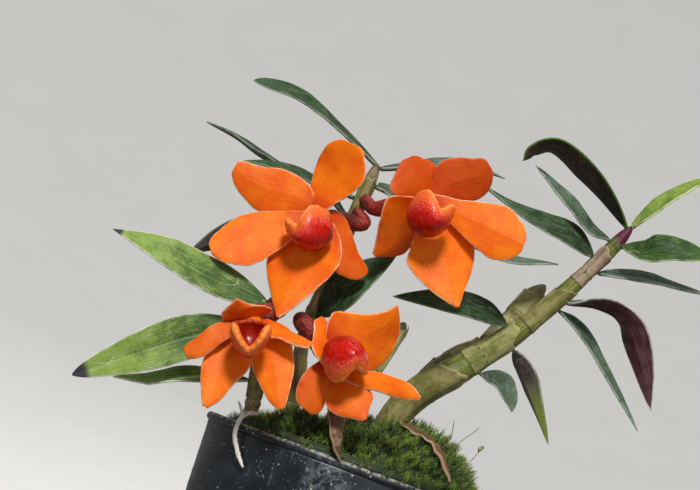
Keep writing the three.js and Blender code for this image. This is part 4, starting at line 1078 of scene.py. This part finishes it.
def moss():
    """The cushion, with leafy shoots that keep clear of the canes."""
    rng = np.random.default_rng(7)
    body = Body()
    moss_cushion(body)
    angle = rng.uniform(0, 2 * np.pi, 3 * MOSS_SHOOTS)
    radius = (MOSS_RADIUS - 0.4) * np.sqrt(rng.uniform(0, 1, 3 * MOSS_SHOOTS)) * moss_reach(angle)
    x, y = radius * np.cos(angle), radius * np.sin(angle)
    free = np.ones(len(x), bool)
    for stem in STEMS.values():
        for place in stem.middle[stem.middle[:, 2] < MOSS_END][::6]:
            near = np.hypot(x - place[0], y - place[1]) < stem.radius_at(0.1) + 0.5
            free &= ~(near & (np.abs(moss_top(x, y) - place[2]) < 5))
    x, y = x[free][:MOSS_SHOOTS], y[free][:MOSS_SHOOTS]
    count = len(x)
    base = np.stack([x, y, moss_top(x, y) - 0.5], -1)
    tall = rng.uniform(1.3, 3.0, count) * (1 + 0.25 * lumps(base, 4.0))
    lean = unit(np.stack([x * 0.03, y * 0.03, np.ones(count)], -1) + rng.normal(0, 0.28, (count, 3)) * (1, 1, 0))
    tint = np.clip(0.5 + 0.55 * lumps(base, 5.0, 3) + rng.normal(0, 0.16, count), 0, 1)
    level = (np.arange(SHOOT_LEAVES) + 0.6) / SHOOT_LEAVES
    side = unit(np.cross(lean, (0.31, 0.95, 0.1)))
    other, lean = np.cross(lean, side)[:, None], lean[:, None]
    spins = (np.arange(SHOOT_LEAVES) * GOLDEN_ANGLE + rng.uniform(0, 6.28, (count, 1)))[..., None]
    out = side[:, None] * np.cos(spins) + other * np.sin(spins)
    foot = base[:, None] + lean * (tall[:, None] * level)[..., None]
    opening = np.radians(74 - 52 * level**2)[None, :, None]
    way = lean * np.cos(opening) + out * np.sin(opening)
    long = (rng.uniform(0.75, 1.25, (count, SHOOT_LEAVES)) * (1 - 0.3 * level))[..., None]
    wide = np.cross(way, lean) * (0.17 - 0.05 * level)[None, :, None]
    corners = np.stack([foot + wide + way * 0.12, foot - wide + way * 0.12, foot - lean * 0.2,
                        foot + way * long + lean * long * 0.22], axis=2)
    marks = np.zeros(corners.shape)
    marks[..., 0] = tint[:, None, None]
    marks[..., 1] = (0.25 + 0.5 * level)[None, :, None] + (0, 0, 0, 0.25)
    first = np.arange(count * SHOOT_LEAVES)[:, None] * 4
    faces = np.concatenate([first + [0, 1, 3], first + [1, 2, 3], first + [2, 0, 3], first + [0, 2, 1]])
    body.add(corners, faces.tolist(), marks)
    body.make("moss_shoots", [MOSS], ["moss"])


def moss_hairs():
    """Hair-thin moss stalks, one with its capsule."""
    body = Body()
    hairs = [
        [(17.5, -13, 66.5), (18.6, -15, 69.6), (18.2, -16.5, 72.4), (17.9, -17, 73.4)],
        [(18.8, -12, 65.5), (20.6, -13.5, 69.5), (22.6, -14, 72.5), (23.6, -14.2, 74.2)],
        [(22.0, -14, 64.0), (23.6, -15, 66.0), (24.6, -15.5, 68.2), (25.0, -15.6, 69.4)],
        [(4.6, -16.5, 70.0), (4.2, -18.2, 71.6), (5.2, -19.2, 72.4), (6.4, -19.6, 72.2)],
    ]
    for route in hairs:
        body.tube(tapered(route, [0, 1], [0.09, 0.09]), 8, 24)
    tip = np.array(hairs[2][-1])
    body.tube(bulb([tip - (0.2, 0, 0.2), tip + (0.1, -0.1, 0.6), tip + (0.6, -0.3, 1.2)], 0.42, 0.01), 14, 14)
    body.make("moss_hairs", [HAIR])


def medium():
    """The bark medium: its lumpy top, and loose chips where the moss leaves it bare."""
    rng = np.random.default_rng(11)
    foot = POT_FLOOR + GAP
    foot_radius, limit = (wall_radius(height, POT_WALL + GAP) for height in (foot, MEDIUM_TOP))
    profile = [(0.3, foot), (foot_radius - 0.3, foot), (limit - 0.3, MEDIUM_TOP - 1.6)]
    profile += [(r, MEDIUM_TOP - 1.0 * (r > 22)) for r in np.linspace(27, 0.3, 26)]
    loops = rings(profile, 90)
    top = loops[3:]
    top[..., 2] += 0.9 * lumps(top, 2.6) + 0.4 * lumps(top, 0.9) - 0.4
    body = Body()
    body.loft(loops)
    cube = np.array([(x, y, z) for x in (-1, 1) for y in (-1, 1) for z in (-1, 1)], float)
    quads = [(0, 1, 3, 2), (4, 6, 7, 5), (0, 4, 5, 1), (2, 3, 7, 6), (0, 2, 6, 4), (1, 5, 7, 3)]
    placed = 0
    while placed < CHIPS:
        turn, radius = rng.uniform(0, 2 * np.pi), CHIP_REACH * math.sqrt(rng.uniform(0, 1))
        if moss_reach(turn) > 0.98 and radius < 24:
            continue
        size = rng.uniform(0.5, 2.1) * np.array([1, rng.uniform(0.4, 0.9), rng.uniform(0.25, 0.6)])
        chip = cube * size * (1 + rng.uniform(-0.3, 0.3, cube.shape))
        spin = Matrix.Rotation(rng.uniform(0, 6.28), 3, "Z") @ Matrix.Rotation(rng.uniform(-0.7, 0.7), 3, "X")
        height = MEDIUM_TOP + rng.uniform(0.2, 1.2)
        chip = chip @ np.array(spin).T + (radius * math.cos(turn), radius * math.sin(turn), height)
        if np.hypot(chip[:, 0], chip[:, 1]).max() > limit - 0.2:
            continue
        body.add(chip, quads, np.full((8, 3), rng.uniform(0, 1)))
        placed += 1
    body.make("bark_medium", [MEDIUM], ["potting_medium"], smooth=False)


def pot():
    """The thin moulded pot: rolled rim, fine moulding rings, a foot ring and drain holes."""
    under = POT_HEIGHT - BEAD_HEIGHT
    profile = [(0.3, 0.5), (8, 0.5), (9, 0.35), (22.5, 0.35), (23.4, 0.0), (POT_FOOT_RADIUS - 0.9, 0.0),
               (POT_FOOT_RADIUS - 0.35, 0.15), (POT_FOOT_RADIUS - 0.05, 0.5)]
    profile += [(wall_radius(h) + 0.03 * math.sin(h * 2.1), h) for h in np.linspace(1.2, under - 1.4, 40)]
    profile += [(wall_radius(under) + 0.05, under - 0.5), (wall_radius(under) + 0.1, under - 0.05)]
    for angle in np.linspace(-math.pi / 2, math.pi, 16):
        inner = 1 if angle < math.pi / 2 else 0.9
        profile.append((POT_RIM_RADIUS + BEAD_RADIUS * (math.cos(angle) * inner - 1),
                        POT_HEIGHT - 0.9 + 0.86 * math.sin(angle)))
    profile += [(wall_radius(POT_HEIGHT, POT_WALL - 0.1), POT_HEIGHT - 0.9)]
    heights = np.r_[POT_HEIGHT - 2, np.linspace(POT_HEIGHT - 6, POT_FLOOR + 0.6, 12)]
    profile += [(wall_radius(h, POT_WALL), h) for h in heights]
    profile += [(wall_radius(POT_FLOOR, POT_WALL + 0.7), POT_FLOOR), (0.3, POT_FLOOR)]
    loops = rings(profile, 168)
    angle = np.linspace(0, 2 * np.pi, 168, endpoint=False)
    loops[..., :2] *= (1 + 0.0008 * np.sin(3 * angle + loops[..., 2] * 0.05))[..., None]
    body = Body()
    body.loft(loops)
    shell = body.make("pot_shell", [POT], ["pot"])
    drills = Body()
    for i in range(DRAIN_HOLES):
        angle = 2 * math.pi * (i + 0.5) / DRAIN_HOLES
        x, y = DRAIN_CIRCLE * math.cos(angle), DRAIN_CIRCLE * math.sin(angle)
        drills.tube(tapered([(x, y, -3), (x, y, 4)], [0, 1], [DRAIN_RADIUS, DRAIN_RADIUS]), 40, 2)
    cutter = link("drills", mesh_of("drills", np.vstack(drills.places), drills.faces))
    cut = shell.modifiers.new("drain", "BOOLEAN")
    cut.operation, cut.solver, cut.object = "DIFFERENCE", "EXACT", cutter
    bpy.context.view_layer.update()
    drilled = bpy.data.meshes.new_from_object(shell.evaluated_get(bpy.context.evaluated_depsgraph_get()))
    shell.modifiers.remove(cut)
    shell.data = drilled
    drilled.name = "pot_shell"
    bpy.data.objects.remove(cutter)


# The plant

for row in LEAVES:
    leaf(*row)
for number, (middle, looks, lip_row, carrier, route) in enumerate(BLOOMS, 1):
    middle, looks = np.array(middle, float), unit(looks)
    bloom_ring(number, middle, looks)
    lip(number, middle, looks, *lip_row)
    stalk(number, middle, looks, carrier, route)

cane("main", CANE_GREEN, "cane", 40, 300)
cane("old", CANE_OLD, "old_cane")
cane("flower", CANE_THIN, "cane")
cane("short", CANE_OLD, "old_cane")
cane("left", CANE_THIN, "cane")
# Cane, number, first and last joint, look, slot, start, how proud, flare, slant, how ragged, seed
for row in [
    ("main", 1, 0.95, 2.6, SHEATH_TAN, "cane", 2.2, 0.12, 0.12, 0.45, 0.1, 1),
    ("main", 2, 2.75, 3.7, SHEATH_GREEN, "cane", 0.6, 0.1, 0.15, 0.3, 0.15, 2),
    ("main", 3, 3.8, 4.7, SHEATH_TAN, "cane", 3.0, 0.08, 0.1, 0.2, 0.1, 3),
    ("main", 4, 4.8, 5.5, SHEATH_PINK, "cane", 1.0, 0.08, 0.12, 0.15, 0.06, 4),
    *(("old", i, i + 0.05, i + 0.85, SHEATH_GREY, "old_cane", 1.7 * i, 0.1, 0.3, 0.3, 0.16, 10 + i)
      for i in range(2, 7)),
    *(("flower", i, i + 0.05, i + 0.75, SHEATH_TAN, "cane", 2.1 * i, 0.06, 0.1, 0.3, 0.1, 20 + i)
      for i in range(1, 5)),
    *(("short", i, i + 0.05, i + 0.9, SHEATH_GREY, "old_cane", 1.3 * i, 0.08, 0.35, 0.2, 0.2, 30 + i)
      for i in range(1, 3)),
    ("left", 1, 1.1, 1.8, SHEATH_TAN, "cane", 0.4, 0.06, 0.1, 0.3, 0.1, 41),
    ("left", 2, 2.1, 2.7, SHEATH_TAN, "cane", 2.4, 0.06, 0.1, 0.3, 0.1, 42),
]:
    sheath(*row)

dry_strip("dried_bract", "main", 0.82, 2.4, (0.3, -0.5, 0.8),
          [(9.6, -12.6, 69.4), (13.9, -15, 68.6), (17.7, -18.5, 66.6), (21.3, -22, 61.6)])
dry_strip("dried_sheath", "short", 1.0, 3.8, (0, -0.6, 0.8),
          [(-5.4, -22, 67.6), (-5, -27, 66.4), beside_pot(-6, 62, 1.6), beside_pot(-2, 57.6, 1.5)])
aerial_root()
moss()
moss_hairs()
medium()
pot()
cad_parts["rhizome_and_roots"].data.materials.clear()
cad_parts["rhizome_and_roots"].data.materials.append(ROOT)


# Stage, light and camera

TARGET = Vector((-14.4, 0, 100.7)) * MM
DISTANCE = 600 * MM
RISE, ROLL = math.radians(4), math.radians(20.5)
LENS = 146.94
SENSOR = 36
FLOOR_HALF, WALL_BEND, WALL_TOP = 900, 1500, 2600


def stage():
    """A pale round floor that curves up into a wall, so no horizon shows."""
    profile = [(10, 0), (300, 0), (FLOOR_HALF, 0)]
    profile += [(FLOOR_HALF + WALL_BEND * math.sin(a), WALL_BEND * (1 - math.cos(a)))
                for a in np.linspace(0.05, math.pi / 2, 24)]
    loops = rings(profile + [(FLOOR_HALF + WALL_BEND, WALL_TOP)], 96)
    index, faces = skin(*loops.shape[:2])
    mesh = mesh_of("floor", loops, faces + [index[0].tolist()])
    mesh.polygons.foreach_set("use_smooth", np.full(len(faces) + 1, True))
    mesh.materials.append(plain_look("floor", "#dcdad6", "#e2e0dc", 40, 0.9, Emission_Color=(1, 0.99, 0.97, 1),
                                     Emission_Strength=0.3))
    floor = link("floor", mesh)
    floor.visible_diffuse = floor.visible_glossy = False


def softbox(name, place, size, power):
    data = bpy.data.lights.new(name, "AREA")
    data.shape, data.size, data.energy = "DISK", size, power
    lamp = link(name, data)
    lamp.location = place
    lamp.rotation_euler = (TARGET - Vector(place)).to_track_quat("-Z", "Y").to_euler()
    lamp.visible_camera = False


def camera():
    """The photograph's view: slightly from below, and tilted to the left."""
    ahead = Vector((0, math.cos(RISE), math.sin(RISE)))
    right = Vector((1, 0, 0))
    up = Vector((0, -math.sin(RISE), math.cos(RISE)))
    across = right * math.cos(ROLL) + up * math.sin(ROLL)
    over = up * math.cos(ROLL) - right * math.sin(ROLL)
    data = bpy.data.cameras.new("camera")
    data.lens, data.sensor_width, data.sensor_fit = LENS, SENSOR, "HORIZONTAL"
    data.clip_start, data.clip_end = 0.01, 20
    view = link("camera", data)
    axes = Matrix((across, over, -ahead)).transposed().to_4x4()
    view.matrix_world = Matrix.Translation(TARGET - ahead * DISTANCE) @ axes
    bpy.context.scene.camera = view


stage()
softbox("key", (-0.1, -0.72, 0.75), 0.2, 8)
softbox("fill", (0.5, -0.9, 0.1), 0.6, 1.5)
softbox("top", (0.1, 0.3, 1.3), 1.0, 3)
softbox("back", (0.2, 1.0, 0.6), 0.8, 2)
world = bpy.data.worlds.new("world")
world.use_nodes = True
world.node_tree.nodes["Background"].inputs["Color"].default_value = (1, 1, 1, 1)
world.node_tree.nodes["Background"].inputs["Strength"].default_value = 0.25
bpy.context.scene.world = world
bpy.context.scene.view_settings.view_transform = "Standard"
camera()
